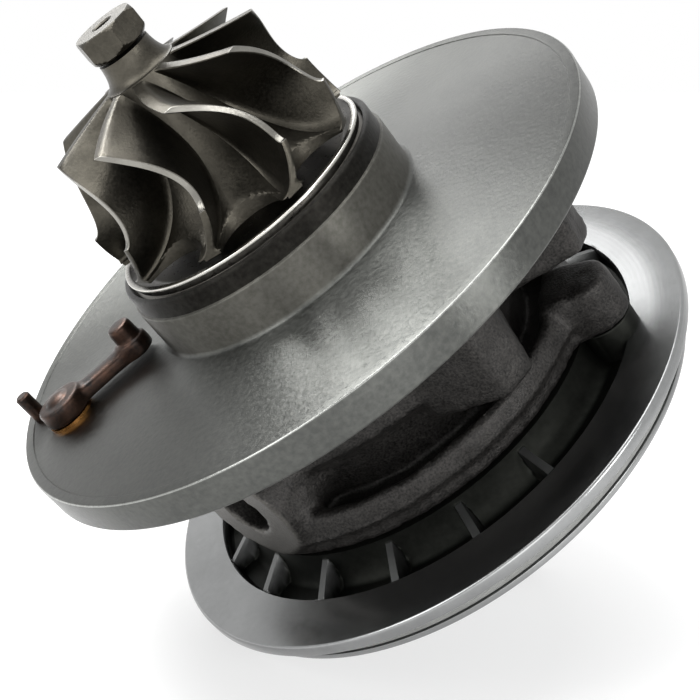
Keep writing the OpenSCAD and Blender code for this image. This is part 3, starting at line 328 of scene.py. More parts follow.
# %% [markdown]
# ## From arrays to pieces
# Shells that belong together become one mesh object. Its seams and poles are merged, sharp edges stay crisp,
# the piece hangs on the body that carries it, and the solids it stands for are hidden.

# %% Piece helper
# Distances in metres below which points are merged and faces count as empty
MERGE_DISTANCE = 1e-7
EMPTY_DISTANCE = 1e-8


def add_piece(name, shells, body, finish, slot, replaced, crease=32, **attributes):
    """Joins shells, in mm, into one mesh with merged seams and poles, on its body, and hides the solids it
    replaces.
    """
    starts = np.cumsum([0] + [len(points) for points, _ in shells])
    points = np.concatenate([points for points, _ in shells])
    faces = np.concatenate([quads + start for (_, quads), start in zip(shells, starts)])
    mesh = bpy.data.meshes.new(name)
    mesh.from_pydata(points*MM, [], faces)
    for key, values in attributes.items():
        mesh.attributes.new(key, "FLOAT", "POINT").data.foreach_set("value", values.astype(np.float32))
    joined = bmesh.new()
    joined.from_mesh(mesh)
    bmesh.ops.remove_doubles(joined, verts=joined.verts, dist=MERGE_DISTANCE)
    bmesh.ops.dissolve_degenerate(joined, edges=joined.edges, dist=EMPTY_DISTANCE)
    joined.to_mesh(mesh)
    joined.free()
    mesh.shade_smooth()
    mesh.set_sharp_from_angle(angle=math.radians(crease))
    mesh.materials.append(FINISH[finish])
    made = in_scene(name, mesh)
    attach(made, body)
    for node in replaced:
        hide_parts(node)
    triangles = sum(len(polygon.vertices) - 2 for polygon in mesh.polygons)
    print(f"{name}: {len(mesh.vertices)} points, {triangles} triangles")


# %% [markdown]
# ## The disc and the hub
# The disc carries the turbine housing, so its face, edge and hub are turned on a lathe. Primitives and bevels
# would do, but a turned form is simply one outline carried round the axis, with a small round at each edge to
# catch the light. The outline also says where the hub is, where the collar gets painted shade under the
# shield's rim, and where the edge gets a lighter tone, partly wear and partly a painted highlight.

# %% Disc and hub of the housing
DISC_R = 52.0
DISC_T = 5.3
HUB_R = 23.6
HUB_H = 7.4
COLLAR_R = 23.1
COLLAR_Z = 10.5
SEAT_R = 22.1
FLOOR_Z = 6.0
SEAL_BORE_R = 8.6
RAISED_H = 0.15
RAISED_R = 50.3
DISC_COLUMNS = 320

disc_outline = rounded([
    [SEAL_BORE_R, -DISC_T, 0], [DISC_R, -DISC_T, 0.6], [DISC_R, RAISED_H, 0.4], [RAISED_R, RAISED_H, 0.08],
    [RAISED_R - RAISED_H, 0, 0.08], [HUB_R, 0, 0.7], [HUB_R, HUB_H, 0.3], [COLLAR_R, HUB_H, 0.15],
    [COLLAR_R, COLLAR_Z, 0.5], [SEAT_R, COLLAR_Z, 0.2], [SEAT_R, FLOOR_Z, 0.4], [SEAL_BORE_R, FLOOR_Z, 0.2]])
disc_r, disc_z = disc_outline.T
disc_masks = {
    "hub": np.clip((disc_z - 0.1)/0.6, 0, 1)*(disc_r < RAISED_R - 1),
    # The collar under the shield's rim is painted dark: painted shade
    "collar_painted_shade": (disc_z > HUB_H + 0.05) & (disc_r > SEAT_R - 0.5),
    # The edge's lighter ring is partly wear and partly a painted highlight
    "worn": (disc_z > RAISED_H - 0.3) & (np.abs(disc_r - DISC_R + 0.15) < 0.12),
}
add_piece("housing_disc", [turned(disc_outline, DISC_COLUMNS)], "housing", "disc", "cast_iron", ["turbine_disc"],
          **{name: np.repeat(mask, DISC_COLUMNS) for name, mask in disc_masks.items()})

# %% [markdown]
# ## The casting
# Below the disc the housing is rough: a core, a ring round its foot, lugs up to the disc, screw ears and two
# oil ports, all flowing into each other. Booleans and bevels struggle with that. Forms that melt together are
# easy as a distance field, where a smooth minimum gives the fillet, and a sum of lattice noise gives the skin of
# the sand mould.

# %% Distance fields
# Large primes scatter the cells of a lattice over a table of random values
HASH_PRIMES = (73856093, 19349663, 83492791)
HASH_SIZE = 4096


def smooth_min(a, b, k):
    """The lower of two fields, rounded over a width of about k: (a + b - sqrt((a - b)**2 + k**2))/2."""
    return (a + b - np.sqrt((a - b)**2 + k*k))/2


def smooth_max(a, b, k):
    """The higher of two fields, rounded over a width of about k."""
    return -smooth_min(-a, -b, k)


def lattice_noise(points, size, seed):
    """Noise from -1 to 1: random values on a lattice of a given size, blended by s*s*(3 - 2*s) in each cell."""
    table = np.random.default_rng(seed).uniform(-1, 1, HASH_SIZE).astype(np.float32)
    cell = [np.floor(p/size).astype(np.int64) for p in points]
    s = [(p/size - c).astype(np.float32) for p, c in zip(points, cell)]
    s = [v*v*(3 - 2*v) for v in s]
    total = 0
    for corner in np.ndindex(2, 2, 2):
        key = sum((c + o)*prime for c, o, prime in zip(cell, corner, HASH_PRIMES))
        weight = 1
        for v, o in zip(s, corner):
            weight = weight*(v if o else 1 - v)
        total = total + weight*table[key % HASH_SIZE]
    return total


# %% [markdown]
# ## From a field to a surface
# Surface nets put one point into each cell of the grid that the zero level passes through, and one quad round
# each crossed edge. That gives even quads, which shade better than the slivers of marching cubes.

# %% Surface nets
def surface_nets(field, low, step):
    """The zero level as quads: each mixed cell gets the mean of its edge crossings, each crossed edge a quad."""
    cells = tuple(n - 1 for n in field.shape)
    total = np.zeros((*cells, 3), np.float32)
    count = np.zeros(cells, np.float32)
    crossed = []
    for axis in range(3):
        a = np.moveaxis(field, axis, 0)[:-1]
        b = np.moveaxis(field, axis, 0)[1:]
        cross = (a < 0) != (b < 0)
        share = np.moveaxis(np.where(cross, a/np.where(cross, a - b, 1), 0), 0, axis)
        cross = np.moveaxis(cross, 0, axis)
        crossed.append((cross, np.moveaxis(a < 0, 0, axis)))
        others = [k for k in range(3) if k != axis]
        for offset in np.ndindex(2, 2):
            cut = [slice(None)]*3
            for k, o in zip(others, offset):
                cut[k] = slice(o, cells[k] + o)
            count += cross[tuple(cut)]
            total[..., axis] += share[tuple(cut)]
            for k, o in zip(others, offset):
                total[..., k] += o*cross[tuple(cut)]
    active = np.argwhere(count > 0)
    where = tuple(active.T)
    index = np.full(cells, -1)
    index[where] = np.arange(len(active))
    points = low + (active + total[where]/count[where][:, None])*step
    faces = []
    for axis, (cross, leaving) in enumerate(crossed):
        pair = [(axis + 1) % 3, (axis + 2) % 3]
        edges = np.argwhere(cross)
        edges = edges[np.all([(edges[:, k] > 0) & (edges[:, k] < cells[k]) for k in pair], axis=0)]
        ring = []
        for offset in ((1, 1), (0, 1), (0, 0), (1, 0)):
            cell = edges.copy()
            cell[:, pair] -= offset
            ring.append(index[tuple(cell.T)])
        quads = np.stack(ring, -1)
        out = leaving[tuple(edges.T)]
        faces.append(np.where(out[:, None], quads, quads[:, ::-1]))
    return points, np.concatenate(faces)


# %% [markdown]
# ## The casting's forms
# The core narrows to its foot, the lugs are wedges that carry the disc, and the ring closes the bottom with a
# bead along its top. Each is a distance of its own, and they melt together one after the other. The oil ports
# come next, faced flat, and the drillings are cut last, so they stay sharp.

# %% Sizes of the casting
JOINT_Z = -33.35
CORE_R = 28.0
FOOT_R = 25.0
RING_TOP_Z = -26.35
TAPER_H = 5.0
FOOT_Z = -29.65
GROOVE_Z = -30.75
RING_R = 34.0
RING_T = 2.6
BEAD_LOW_Z = -30.1
BEAD_STEP = 0.8
BEAD_SLOPE_H = 0.8
EAR_R = 4.6
EAR_H = 8.0
EAR_PCD_R = 37.2
EAR_ANGLES = (-10, 60, 112, 165)
LUGS = ((-44, 38.0, 24.5), (-15, 44.0, 17.5), (100, 38.0, 24.5), (166, 44.0, 17.5))
LUG_TIP_W = 6.0
LUG_ROOT_W = 17.0
INLET_ANGLE = -125
INLET_FACE = 35.0
INLET_Z = -22.45
INLET_BOSS_R = 9.5
INLET_HOLE_R = 4.5
INLET_DEPTH = 12.0
DRAIN_ANGLE = INLET_ANGLE + 180
DRAIN_FACE = 32.0
DRAIN_Z = -15.825
DRAIN_HALF_H = 8.6
DRAIN_END = 12.3
DRAIN_HOLE_R = 6.5
DRAIN_START = 9.5
DRAIN_PITCH = 30.0
DRAIN_SCREW_R = 2.5
DRAIN_SCREW_H = 9.0
BORE_R = 8.6
RECESS_R = 19.2
RECESS_Z = -28.35
# Widths over which forms melt together, and over which their own edges are rounded
LUG_MELT = 1.2
RING_MELT = 0.6
EAR_MELT = 1.6
PORT_MELT = 2.4
LUG_EDGE = 0.7
RING_EDGE = 2.0
EAR_EDGE = 1.2
SOFT_EDGE = 1.0
PAD_EDGE = 0.8
DISC_FILLET = 2.5
# What is faced off the ports, and how far the casting reaches into the disc
FACING_STOCK = 0.6
INTO_DISC = 0.8
# Depth in mm, size in mm and seed of each layer of the skin
SKIN = ((0.12, 6.0, 1), (0.08, 2.4, 2), (0.10, 1.1, 3))
NET_STEP = 0.54
NET_COUNTS = (172, 172, 57)
print(len(LUGS), "lugs and", len(EAR_ANGLES), "screw ears")

# %% Core, lugs and ring
def along(x, y, angle):
    """Coordinates along and across a direction: u = x cos a + y sin a, v = y cos a - x sin a."""
    a = math.radians(angle)
    return x*math.cos(a) + y*math.sin(a), y*math.cos(a) - x*math.sin(a)


low = np.array([-46.0, -46.0, JOINT_Z - NET_STEP])
x, y, z = np.meshgrid(*(np.arange(n, dtype=np.float32)*NET_STEP + start for n, start in zip(NET_COUNTS, low)),
                      indexing="ij")
r = np.hypot(x, y)
skin = sum(depth*lattice_noise((x, y, z), size, seed) for depth, size, seed in SKIN)

height = np.clip((z - FOOT_Z)/(RING_TOP_Z + TAPER_H - FOOT_Z), 0, 1)
narrow = np.sqrt(np.clip(1 - height**2, 0, 1))
body = r - (CORE_R + (FOOT_R - CORE_R)*narrow)
for angle, reach, drop in LUGS:
    u, v = along(x, y, angle)
    width = LUG_ROOT_W/2 + (LUG_TIP_W - LUG_ROOT_W)/2*np.clip((u - CORE_R)/(reach - CORE_R), 0, 1)
    side = smooth_max(np.abs(v) - width, u - reach, LUG_EDGE)
    lug = smooth_max(np.maximum(side, -u), -drop - z, LUG_EDGE)
    body = smooth_min(body, lug, LUG_MELT)
under_disc = np.maximum(-DISC_T + 0.1 - z, body - DISC_FILLET)
body = smooth_min(body, under_disc, LUG_MELT)

wall_r = RING_R - BEAD_STEP*np.clip((BEAD_LOW_Z - z)/BEAD_SLOPE_H, 0, 1)
ring = smooth_max(np.abs(r - (wall_r - RING_T/2)) - RING_T/2, z - RING_TOP_Z, RING_EDGE)
ring = smooth_min(ring, np.maximum(r - wall_r, z - GROOVE_Z), RING_MELT)
for angle in EAR_ANGLES:
    u, v = along(x, y, angle)
    ear = smooth_max(np.hypot(np.maximum(u - EAR_PCD_R, 0), v) - EAR_R, RING_R - RING_T - u, SOFT_EDGE)
    ear = smooth_max(ear, z - JOINT_Z - EAR_H, EAR_EDGE)
    ring = smooth_min(ring, ear, EAR_MELT)
body = smooth_min(body, ring, RING_MELT)
print("field of", body.size, "points")

# %% Oil ports and drillings
u, v = along(x, y, INLET_ANGLE)
from_inlet = np.hypot(v, z - INLET_Z)
boss = np.maximum(from_inlet - INLET_BOSS_R, -u)
body = smooth_min(body, smooth_max(boss, u - INLET_FACE - FACING_STOCK, SOFT_EDGE), PORT_MELT) + skin
u_drain, v_drain = along(x, y, DRAIN_ANGLE)
pad = np.hypot(np.maximum(np.abs(v_drain) - DRAIN_END, 0), z - DRAIN_Z) - DRAIN_HALF_H
pad = smooth_max(np.maximum(pad, -u_drain), u_drain - DRAIN_FACE - FACING_STOCK, PAD_EDGE)
body = smooth_min(body, pad, PORT_MELT)
facing = np.maximum(np.where(from_inlet < INLET_BOSS_R + 1.5, u - INLET_FACE, -1),
                    np.where(pad < 1.5, u_drain - DRAIN_FACE, -1))
body = np.maximum(body, facing)

drillings = [
    np.maximum(from_inlet - INLET_HOLE_R, INLET_FACE - INLET_DEPTH - u),
    np.maximum(np.hypot(v_drain, z - DRAIN_Z) - DRAIN_HOLE_R, DRAIN_START - u_drain),
    r - BORE_R,
    np.maximum(r - RECESS_R, z - RECESS_Z)]
for side in (-1, 1):
    hole = np.hypot(v_drain - side*DRAIN_PITCH/2, z - DRAIN_Z) - DRAIN_SCREW_R
    drillings.append(np.maximum(hole, DRAIN_FACE - DRAIN_SCREW_H - u_drain))
body = np.maximum(body, -np.minimum.reduce(drillings))
body = np.maximum(body, np.maximum(JOINT_Z - z, z + DISC_T - INTO_DISC))
print(round(100*float(np.mean(body < 0))), "per cent of the field is iron")

# %% Surface of the casting
# The drain faces away from the inlet, so its face lies at a negative place along the inlet's direction
casting = surface_nets(body.astype(np.float32), low, NET_STEP)
net_x, net_y, net_z = casting[0].T
u, v = along(net_x, net_y, INLET_ANGLE)
faced = np.clip((0.4 - np.abs(u - INLET_FACE))/0.3, 0, 1)
faced *= np.hypot(v, net_z - INLET_Z) < INLET_BOSS_R + 0.6
on_pad = np.abs(net_z - DRAIN_Z) < DRAIN_HALF_H + 0.3
faced += np.clip((0.4 - np.abs(u + DRAIN_FACE))/0.3, 0, 1)*on_pad
add_piece("housing_casting", [casting], "housing", "casting", "cast_iron", ["bearing_housing"],
          crease=50, faced=faced)

# %% [markdown]
# ## The backplate
# The compressor side is closed by a die-cast plate: a flat rim, turned where the cover clamps on it, and a
# ring of pockets between thin ribs. Boxes for the ribs would meet the floor without draft or fillet, so the
# plate is a turned outline, and in the pockets the height of each point is the higher of floor and ribs. The
# bosses under the screw ears are round shells that stand in the pockets.

# %% Sizes and grid of the backplate
LIP_R = 34.4
POCKET_Z = -38.85
POCKET_SLOPE = 2.4
RIM_R = 48.95
RIM_INNER_R = 40.1
RIM_Z = -36.55
RIM_SEAT_Z = -38.55
RIM_CHAMFER = 0.5
SPIGOT_R = 46.5
DIFFUSER_Z = -42.95
WHEEL_ROOM_R = 25.3
WHEEL_ROOM_Z = -41.35
COVER_RING_Z = -40.75
COVER_GROOVE_R = 44.85
COVER_GROOVE_H = 1.0
SLEEVE_ROOM_R = 9.0
RIB_PLACES = 18
RIB_PHASE = 8.0
RIB_FREE = 22.5
RIB_HALF = 0.62
RIB_ROOT_Z = -34.2
RIB_END_Z = -36.9
RIB_DRAFT = 8.0
# Share of the pockets' dark tone taken off the rib tops, a painted highlight
RIB_TOP_HIGHLIGHT = 0.4
BACK_Z = -38.0
LAND_R = 24.0
PLATE_COLUMNS = 420

rib_angles = RIB_PHASE + np.arange(RIB_PLACES)*360/RIB_PLACES
from_ears = np.abs((rib_angles[:, None] - np.array(EAR_ANGLES) + 540) % 360 - 180)
rib_stands = from_ears.min(1) > RIB_FREE
# The grid is closer beside each rib, at these angles in degrees
beside = np.array([0.2, 0.5, 0.7, 0.9, 1.1, 1.3, 1.6, 2.0, 2.6, 3.4])
near_rib = np.radians(np.concatenate([-beside, beside]))
plate_turns = np.unique(np.round(np.concatenate([
    np.linspace(0, TAU, PLATE_COLUMNS, endpoint=False),
    (np.radians(rib_angles[rib_stands])[:, None] + near_rib).ravel() % TAU]), 5))

wall = quarter(LIP_R + POCKET_SLOPE, POCKET_Z, LIP_R, JOINT_Z, np.linspace(0, 1, 32))[::-1]
floor_r = np.concatenate([np.linspace(37.0, 39.4, 14), np.linspace(39.5, 40.4, 10), np.linspace(40.6, 43.2, 6)])
floor_z = np.interp(floor_r, [RIM_INNER_R - 0.5, RIM_INNER_R - 0.12, RIM_INNER_R, RIM_INNER_R + 0.2],
                    [POCKET_Z, POCKET_Z + 0.35, RIM_Z - 0.3, RIM_Z])
pocket_r = np.concatenate([[33.6, 34.0], wall[:, 0], floor_r])
pocket_floor = np.concatenate([[JOINT_Z, JOINT_Z], wall[:, 1], floor_z])
inner = [[SLEEVE_ROOM_R, WHEEL_ROOM_Z], [SLEEVE_ROOM_R, BACK_Z], [LAND_R, BACK_Z], [LAND_R, JOINT_Z]]
# The last corner only gives the one before it a direction, and is dropped
outer = rounded([
    [43.4, RIM_Z, 0], [RIM_R, RIM_Z, RIM_CHAMFER], [RIM_R, RIM_SEAT_Z, 0.15], [SPIGOT_R, RIM_SEAT_Z, 0.1],
    [SPIGOT_R, COVER_RING_Z + COVER_GROOVE_H, 0.1], [COVER_GROOVE_R, COVER_RING_Z + COVER_GROOVE_H, 0.1],
    [COVER_GROOVE_R, COVER_RING_Z - COVER_GROOVE_H, 0.1], [SPIGOT_R, COVER_RING_Z - COVER_GROOVE_H, 0.1],
    [SPIGOT_R, DIFFUSER_Z, RIM_CHAMFER], [WHEEL_ROOM_R, DIFFUSER_Z, 0.2], [WHEEL_ROOM_R, WHEEL_ROOM_Z, 0.2],
    [30.0, -35.0, 0]], steps=3)[:-1]
plate_outline = np.concatenate([inner, np.stack([pocket_r, pocket_floor], -1), outer])
pocket_rows = slice(len(inner), len(inner) + len(pocket_r))
print(rib_stands.sum(), "ribs on a grid of", len(plate_outline), "by", len(plate_turns))


# %% Ribbed backplate
def pockets(r, z, t):
    """Height in the pockets: the higher of floor and ribs, with a fillet where they meet."""
    rr = r[pocket_rows]
    height = z[pocket_rows]
    turn = np.degrees(t) - RIB_PHASE
    place = np.round(turn/(360/RIB_PLACES)).astype(int)
    across = np.abs(rr*np.sin(np.radians(turn - place*360/RIB_PLACES)))
    top = RIB_ROOT_Z + (RIB_END_Z - RIB_ROOT_Z)*(rr - LIP_R)/(RIM_INNER_R - LIP_R)
    rib = top - RIB_DRAFT*np.maximum(across - RIB_HALF, 0)
    stands = rib_stands[place % RIB_PLACES] & (rr < RIM_INNER_R + 0.3)
    height = np.where(stands, smooth_max(height, rib, 0.3), height)
    z = z.copy()
    z[pocket_rows] = np.minimum(height, JOINT_Z)
    return r, z


plate = turned(plate_outline, plate_turns, pockets)
# Rows of the pockets get the dark tone: a dull cast skin, painted darker still as shade
row_is_cast = np.zeros(len(plate_outline))
row_is_cast[pocket_rows] = pocket_r < RIM_INNER_R - 0.02
above_floor = plate[0][:, 2] - np.repeat(plate_outline[:, 1], len(plate_turns))
# Rib tops more than 0.8 mm above the floor lose part of the dark tone, a painted highlight
rib_top_highlight = RIB_TOP_HIGHLIGHT*np.clip(above_floor - 0.8, 0, 1)
cast = [np.repeat(row_is_cast, len(plate_turns))*(1 - rib_top_highlight)]
plate_shells = [plate]
boss = turned(rounded([[0, POCKET_Z - 1, 0], [EAR_R, POCKET_Z - 1, 0], [EAR_R, JOINT_Z - 0.03, 0.3],
                       [0, JOINT_Z - 0.03, 0]]), 72)
for angle in EAR_ANGLES:
    plate_shells.append(spun((boss[0] + [EAR_PCD_R, 0, 0], boss[1]), angle))
    cast.append(np.ones(len(boss[0])))
add_piece("backplate_ribbed", plate_shells, "housing", "backplate", "backplate_aluminium",
          ["compressor_backplate"], cast=np.concatenate(cast))

# %% [markdown]
# ## The two wheels
# A blade is a sheet between a hub curve and a shroud curve, both quarters of an ellipse, bent round the axis
# by a lean or a wrap. Its thickness grows towards the root and flares there into a fillet. One function
# makes the blades of both wheels, and the grid runs up one side, over the ground edge and down the other.

# %% Blade surface
# Share of the thickness at the corners of a blade's rounded edge
EDGE = 0.72


def blade(hub, shroud, turn, root_t, tip_t, fillet, stations=46, spans=14):
    """Points r, z between hub(s) and shroud(s), at the angle turn(s, z) plus or minus asin(half/r).

    half is half the thickness times sqrt(1 + (r dturn/dm)**2), since a leaning sheet is wider round the axis,
    plus the flare of a fillet of radius f, which is f - sqrt(f**2 - (f - d)**2) at a distance d from the hub.
    """
    s = np.concatenate([[0, 0], np.linspace(0.006, 0.994, stations), [1, 1]])
    s_edge = np.concatenate([[0, EDGE], np.ones(stations), [EDGE, 0]])
    up = np.linspace(0, 1, spans)**1.3*0.985
    v = np.concatenate([up, [1, 1, 1], up[::-1]])
    v_edge = np.concatenate([np.ones(spans), [EDGE, 0, -EDGE], -np.ones(spans)])
    low, high = hub(s), shroud(s)
    r = low[:, :1] + (high[:, :1] - low[:, :1])*v
    z = low[:, 1:] + (high[:, 1:] - low[:, 1:])*v
    angle = turn(np.repeat(s[:, None], len(v), 1), z)
    slope = np.gradient(angle, axis=0)/np.maximum(np.hypot(np.gradient(r, axis=0), np.gradient(z, axis=0)), 1e-6)
    distance = np.minimum(v*np.hypot(*(high - low).T)[:, None], fillet)
    flare = fillet - np.sqrt(np.maximum(fillet**2 - (fillet - distance)**2, 0))
    half = (root_t + (tip_t - root_t)*v)/2*np.sqrt(1 + (r*slope)**2) + flare
    angle = angle + s_edge[:, None]*v_edge*np.arcsin(np.clip(half/r, -1, 1))
    points = np.stack([r*np.cos(angle), r*np.sin(angle), z], -1).reshape(-1, 3)
    ground = np.repeat((v > 0.99)[None, :], len(s), 0).ravel()
    return shell(points, grid_faces(len(s), len(v))), ground


def hexagon(corner_r, t):
    """Distance from the axis to a hexagon with a corner at angle 0: r cos 30 / cos(t mod 60 - 30)."""
    return corner_r*math.cos(math.pi/6)/np.cos(t % (math.pi/3) - math.pi/6)


# %% [markdown]
# ## The turbine wheel
# Exhaust flows in at the rim and out along the axis. The back is scalloped between the blades to save weight,
# which a radius cut to a row of circles gives without a boolean. The hexagonal nose is for a spanner.

# %% Turbine wheel
TURB_BACK_Z = 12.5
TURB_TIP_R = 21.5
TURB_BACK_T = 1.0
TURB_INLET_W = 5.7
TURB_OUT_R = 18.1
TURB_OUT_H = 19.5
TURB_NOSE_R = 5.9
TURB_ROOT_H = 22.2
TURB_NECK_R = 4.2
TURB_NECK_H = 4.2
TURB_CROWN_H = 8.5
TURB_OUT_SWEEP = 27
TURB_IN_SWEEP = 9
TURB_BLADES = 9
TURB_SCALLOP_R = 6.0
TURB_HEX_R = 5.3
TURB_HEX_H = 4.1
TURB_DRILL_R = 1.5
TURB_DRILL_H = 2.2
# Thickness of a blade at root and tip, and its fillet
TURB_BLADE = (1.5, 1.0, 1.3)
TURB_COLUMNS = 540
HEX_COLUMNS = 240
ROTOR_PHASE = 0.5
SEAL_HUB_R = 8.4
WELD_Z = 9.3


def turbine_lean(s, z):
    """A parabola that leans back on both sides of the crown: out_sweep above it and in_sweep below it."""
    above = (z - TURB_CROWN_H)/(TURB_OUT_H - TURB_CROWN_H)
    below = (z - TURB_CROWN_H)/(TURB_BACK_T - TURB_CROWN_H)
    return -np.radians(np.where(z > TURB_CROWN_H, TURB_OUT_SWEEP*above**2, TURB_IN_SWEEP*below**2))


def turbine_scallops(r, z, t):
    """Cuts the thin back to the near side of a row of circles: c cos d - sqrt(R**2 - (c sin d)**2)."""
    pitch = TAU/TURB_BLADES
    middle = math.radians(-TURB_IN_SWEEP) + pitch/2
    d = (t - middle + pitch/2) % pitch - pitch/2
    inside = TURB_SCALLOP_R**2 - (TURB_TIP_R*np.sin(d))**2
    limit = np.where(inside > 0, TURB_TIP_R*np.cos(d) - np.sqrt(np.maximum(inside, 0)), TURB_TIP_R)
    return np.minimum(r, limit), z


steps = np.linspace(0, 1, 40)
turbine_hub = np.concatenate([
    [[0, 0], [TURB_TIP_R - 0.5, 0], [TURB_TIP_R - 0.3, 0.2]],
    quarter(TURB_TIP_R - 0.3, TURB_BACK_T, TURB_NOSE_R, TURB_ROOT_H, steps),
    quarter(TURB_NOSE_R, TURB_ROOT_H, TURB_NECK_R, TURB_NECK_H + TURB_ROOT_H, steps[4::4]),
    [[0, TURB_NECK_H + TURB_ROOT_H]]])
one_blade, blade_ground = blade(
    lambda s: quarter(TURB_TIP_R, TURB_BACK_T - 0.3, TURB_NOSE_R - 0.5, TURB_ROOT_H, s),
    lambda s: quarter(TURB_TIP_R, TURB_BACK_T + TURB_INLET_W, TURB_OUT_R, TURB_OUT_H, s),
    turbine_lean, *TURB_BLADE)
hex_low = TURB_ROOT_H + TURB_NECK_H
hex_high = hex_low + TURB_HEX_H
chamfer = np.linspace(0, 1, 6)[:, None]
nose_outline = np.concatenate([
    [[0, hex_low]],
    [TURB_HEX_R - 0.9, hex_low] + chamfer*[1.2, 1.2],
    [TURB_HEX_R + 0.3, hex_high - 1.0] + chamfer*[-1.0, 1.0],
    [[TURB_DRILL_R + 0.25, hex_high], [TURB_DRILL_R, hex_high - 0.25],
     [TURB_DRILL_R, hex_high - TURB_DRILL_H], [0, hex_high - TURB_DRILL_H - 0.8]]])
nose = turned(nose_outline, HEX_COLUMNS, lambda r, z, t: (np.minimum(r, hexagon(TURB_HEX_R, t)), z))
weld_z = WELD_Z - TURB_BACK_Z
weld = turned(np.array([[0, weld_z], [SEAL_HUB_R, weld_z], [SEAL_HUB_R, 0.2], [0, 0.2]]))
wheel_shells = [turned(turbine_hub, TURB_COLUMNS, turbine_scallops), nose, weld]
ground = [np.zeros(len(points)) for points, _ in wheel_shells]
# The nose's end gets half the light tone of the ground edges, a painted highlight on the face turned to the
# lamps
ground[1][nose[0][:, 2] > hex_high - 0.1] = 0.5
for i in range(TURB_BLADES):
    wheel_shells.append(spun(one_blade, i*360/TURB_BLADES))
    ground.append(blade_ground)
wheel_shells = [spun((points + [0, 0, TURB_BACK_Z], faces), ROTOR_PHASE) for points, faces in wheel_shells]
add_piece("turbine_wheel_cast", wheel_shells, "rotor", "turbine", "turbine_alloy", ["turbine_wheel"],
          ground=np.concatenate(ground))

# %% [markdown]
# ## The compressor wheel
# Air flows in along the axis and out at the rim. The same function makes six full and six shorter blades, with a
# wrap instead of a lean. The wheel is made facing up and mirrored, so the order of its faces is reversed.

# %% Compressor wheel
COMP_BACK_Z = -41.75
COMP_TIP_R = 24.5
COMP_BACK_T = 1.0
COMP_OUT_W = 3.2
COMP_IN_R = 17.6
COMP_IN_H = 20.5
COMP_H = 25.5
COMP_CURVE_H = 22.5
COMP_NOSE_R = 5.6
COMP_BORE_R = 2.55
COMP_BLADES = 6
COMP_WRAP = 52
SPLITTER_REACH = 0.7
COMP_BLADE = (0.9, 0.6, 1.0)
COMP_COLUMNS = 240

comp_hub = np.concatenate([
    [[COMP_BORE_R, 0], [COMP_TIP_R - 0.15, 0], [COMP_TIP_R, 0.15]],
    quarter(COMP_TIP_R, COMP_BACK_T, COMP_NOSE_R, COMP_CURVE_H, steps),
    [[COMP_NOSE_R, COMP_H - 0.4], [COMP_NOSE_R - 0.4, COMP_H], [COMP_BORE_R, COMP_H]]])
comp_shells = [turned(comp_hub, COMP_COLUMNS)]
ground = [np.zeros(len(comp_shells[0][0]))]
for reach, phase in ((1.0, 0.0), (SPLITTER_REACH, 0.5)):
    one_blade, blade_ground = blade(
        lambda s: quarter(COMP_TIP_R - 0.25, COMP_BACK_T - 0.3, COMP_NOSE_R - 0.4, COMP_IN_H, reach*s),
        lambda s: quarter(COMP_TIP_R - 0.25, COMP_BACK_T + COMP_OUT_W, COMP_IN_R, COMP_IN_H, reach*s),
        lambda s, z: np.radians(COMP_WRAP*reach*s), *COMP_BLADE)
    for i in range(COMP_BLADES):
        comp_shells.append(spun(one_blade, (i + phase)*360/COMP_BLADES))
        ground.append(blade_ground)
mirrored = [spun(shape, ROTOR_PHASE) for shape in comp_shells]
mirrored = [(points*[1, 1, -1] + [0, 0, COMP_BACK_Z], faces[:, ::-1]) for points, faces in mirrored]
add_piece("compressor_wheel_milled", mirrored, "rotor", "wheel", "wheel_aluminium", ["compressor_wheel"],
          ground=np.concatenate(ground))

# %% [markdown]
# ## The heat shield
# A thin sheet keeps the exhaust's heat from the bearings. It is pressed into a dish with a neck below its rim,
# and the rim, which the turbine housing clamps, is painted bright, partly wear and partly a painted highlight.
# A solidified surface would give one thickness and square edges, so the whole outline of the sheet is turned,
# with its rounds.

# %% Heat shield
SHIELD_R = 21.8
SHIELD_TOP_Z = 11.8
SHIELD_T = 0.9
SHIELD_DISH_Z = 10.2
SHIELD_DISH_R = 18.7
SHIELD_HOLE_R = 8.7
SHIELD_COLUMNS = 256

shield_outline = rounded([
    [SHIELD_R - SHIELD_T, FLOOR_Z, 0.1], [SHIELD_R, FLOOR_Z, 0.1], [SHIELD_R, COLLAR_Z - 0.6, 0.1],
    [SHIELD_R - 0.5, COLLAR_Z - 0.3, 0.1], [SHIELD_R - 0.5, SHIELD_TOP_Z - 0.55, 0.1],
    [SHIELD_R, SHIELD_TOP_Z - 0.5, 0.1], [SHIELD_R, SHIELD_TOP_Z, 0.2],
    [SHIELD_R - SHIELD_T, SHIELD_TOP_Z, 0.3], [SHIELD_DISH_R, SHIELD_DISH_Z, 1.5],
    [SHIELD_HOLE_R, SHIELD_DISH_Z, 0.15], [SHIELD_HOLE_R, SHIELD_DISH_Z - SHIELD_T, 0.15],
    [SHIELD_DISH_R, SHIELD_DISH_Z - SHIELD_T, 0.8],
    [SHIELD_R - SHIELD_T, SHIELD_TOP_Z - SHIELD_T, 0.4]], steps=8)
# The rim's light tone is partly wear from the clamp and partly a painted highlight
worn = (shield_outline[:, 0] > SHIELD_R - 0.45) & (shield_outline[:, 1] > SHIELD_TOP_Z - 0.52)
add_piece("heat_shield_pressed", [turned(shield_outline, SHIELD_COLUMNS)], "housing", "shield", "shield_steel",
          ["heat_shield"], worn=np.repeat(worn, SHIELD_COLUMNS))

# %% [markdown]
# ## The crank
# The crank that turns the vane ring is a small forging: two eyes and a slim web between them, with a finger at
# the free end. A distance field melts the three together as a forging die does. Its shaft runs through the
# bronze bush and ends in two flats for the lever of the actuator.

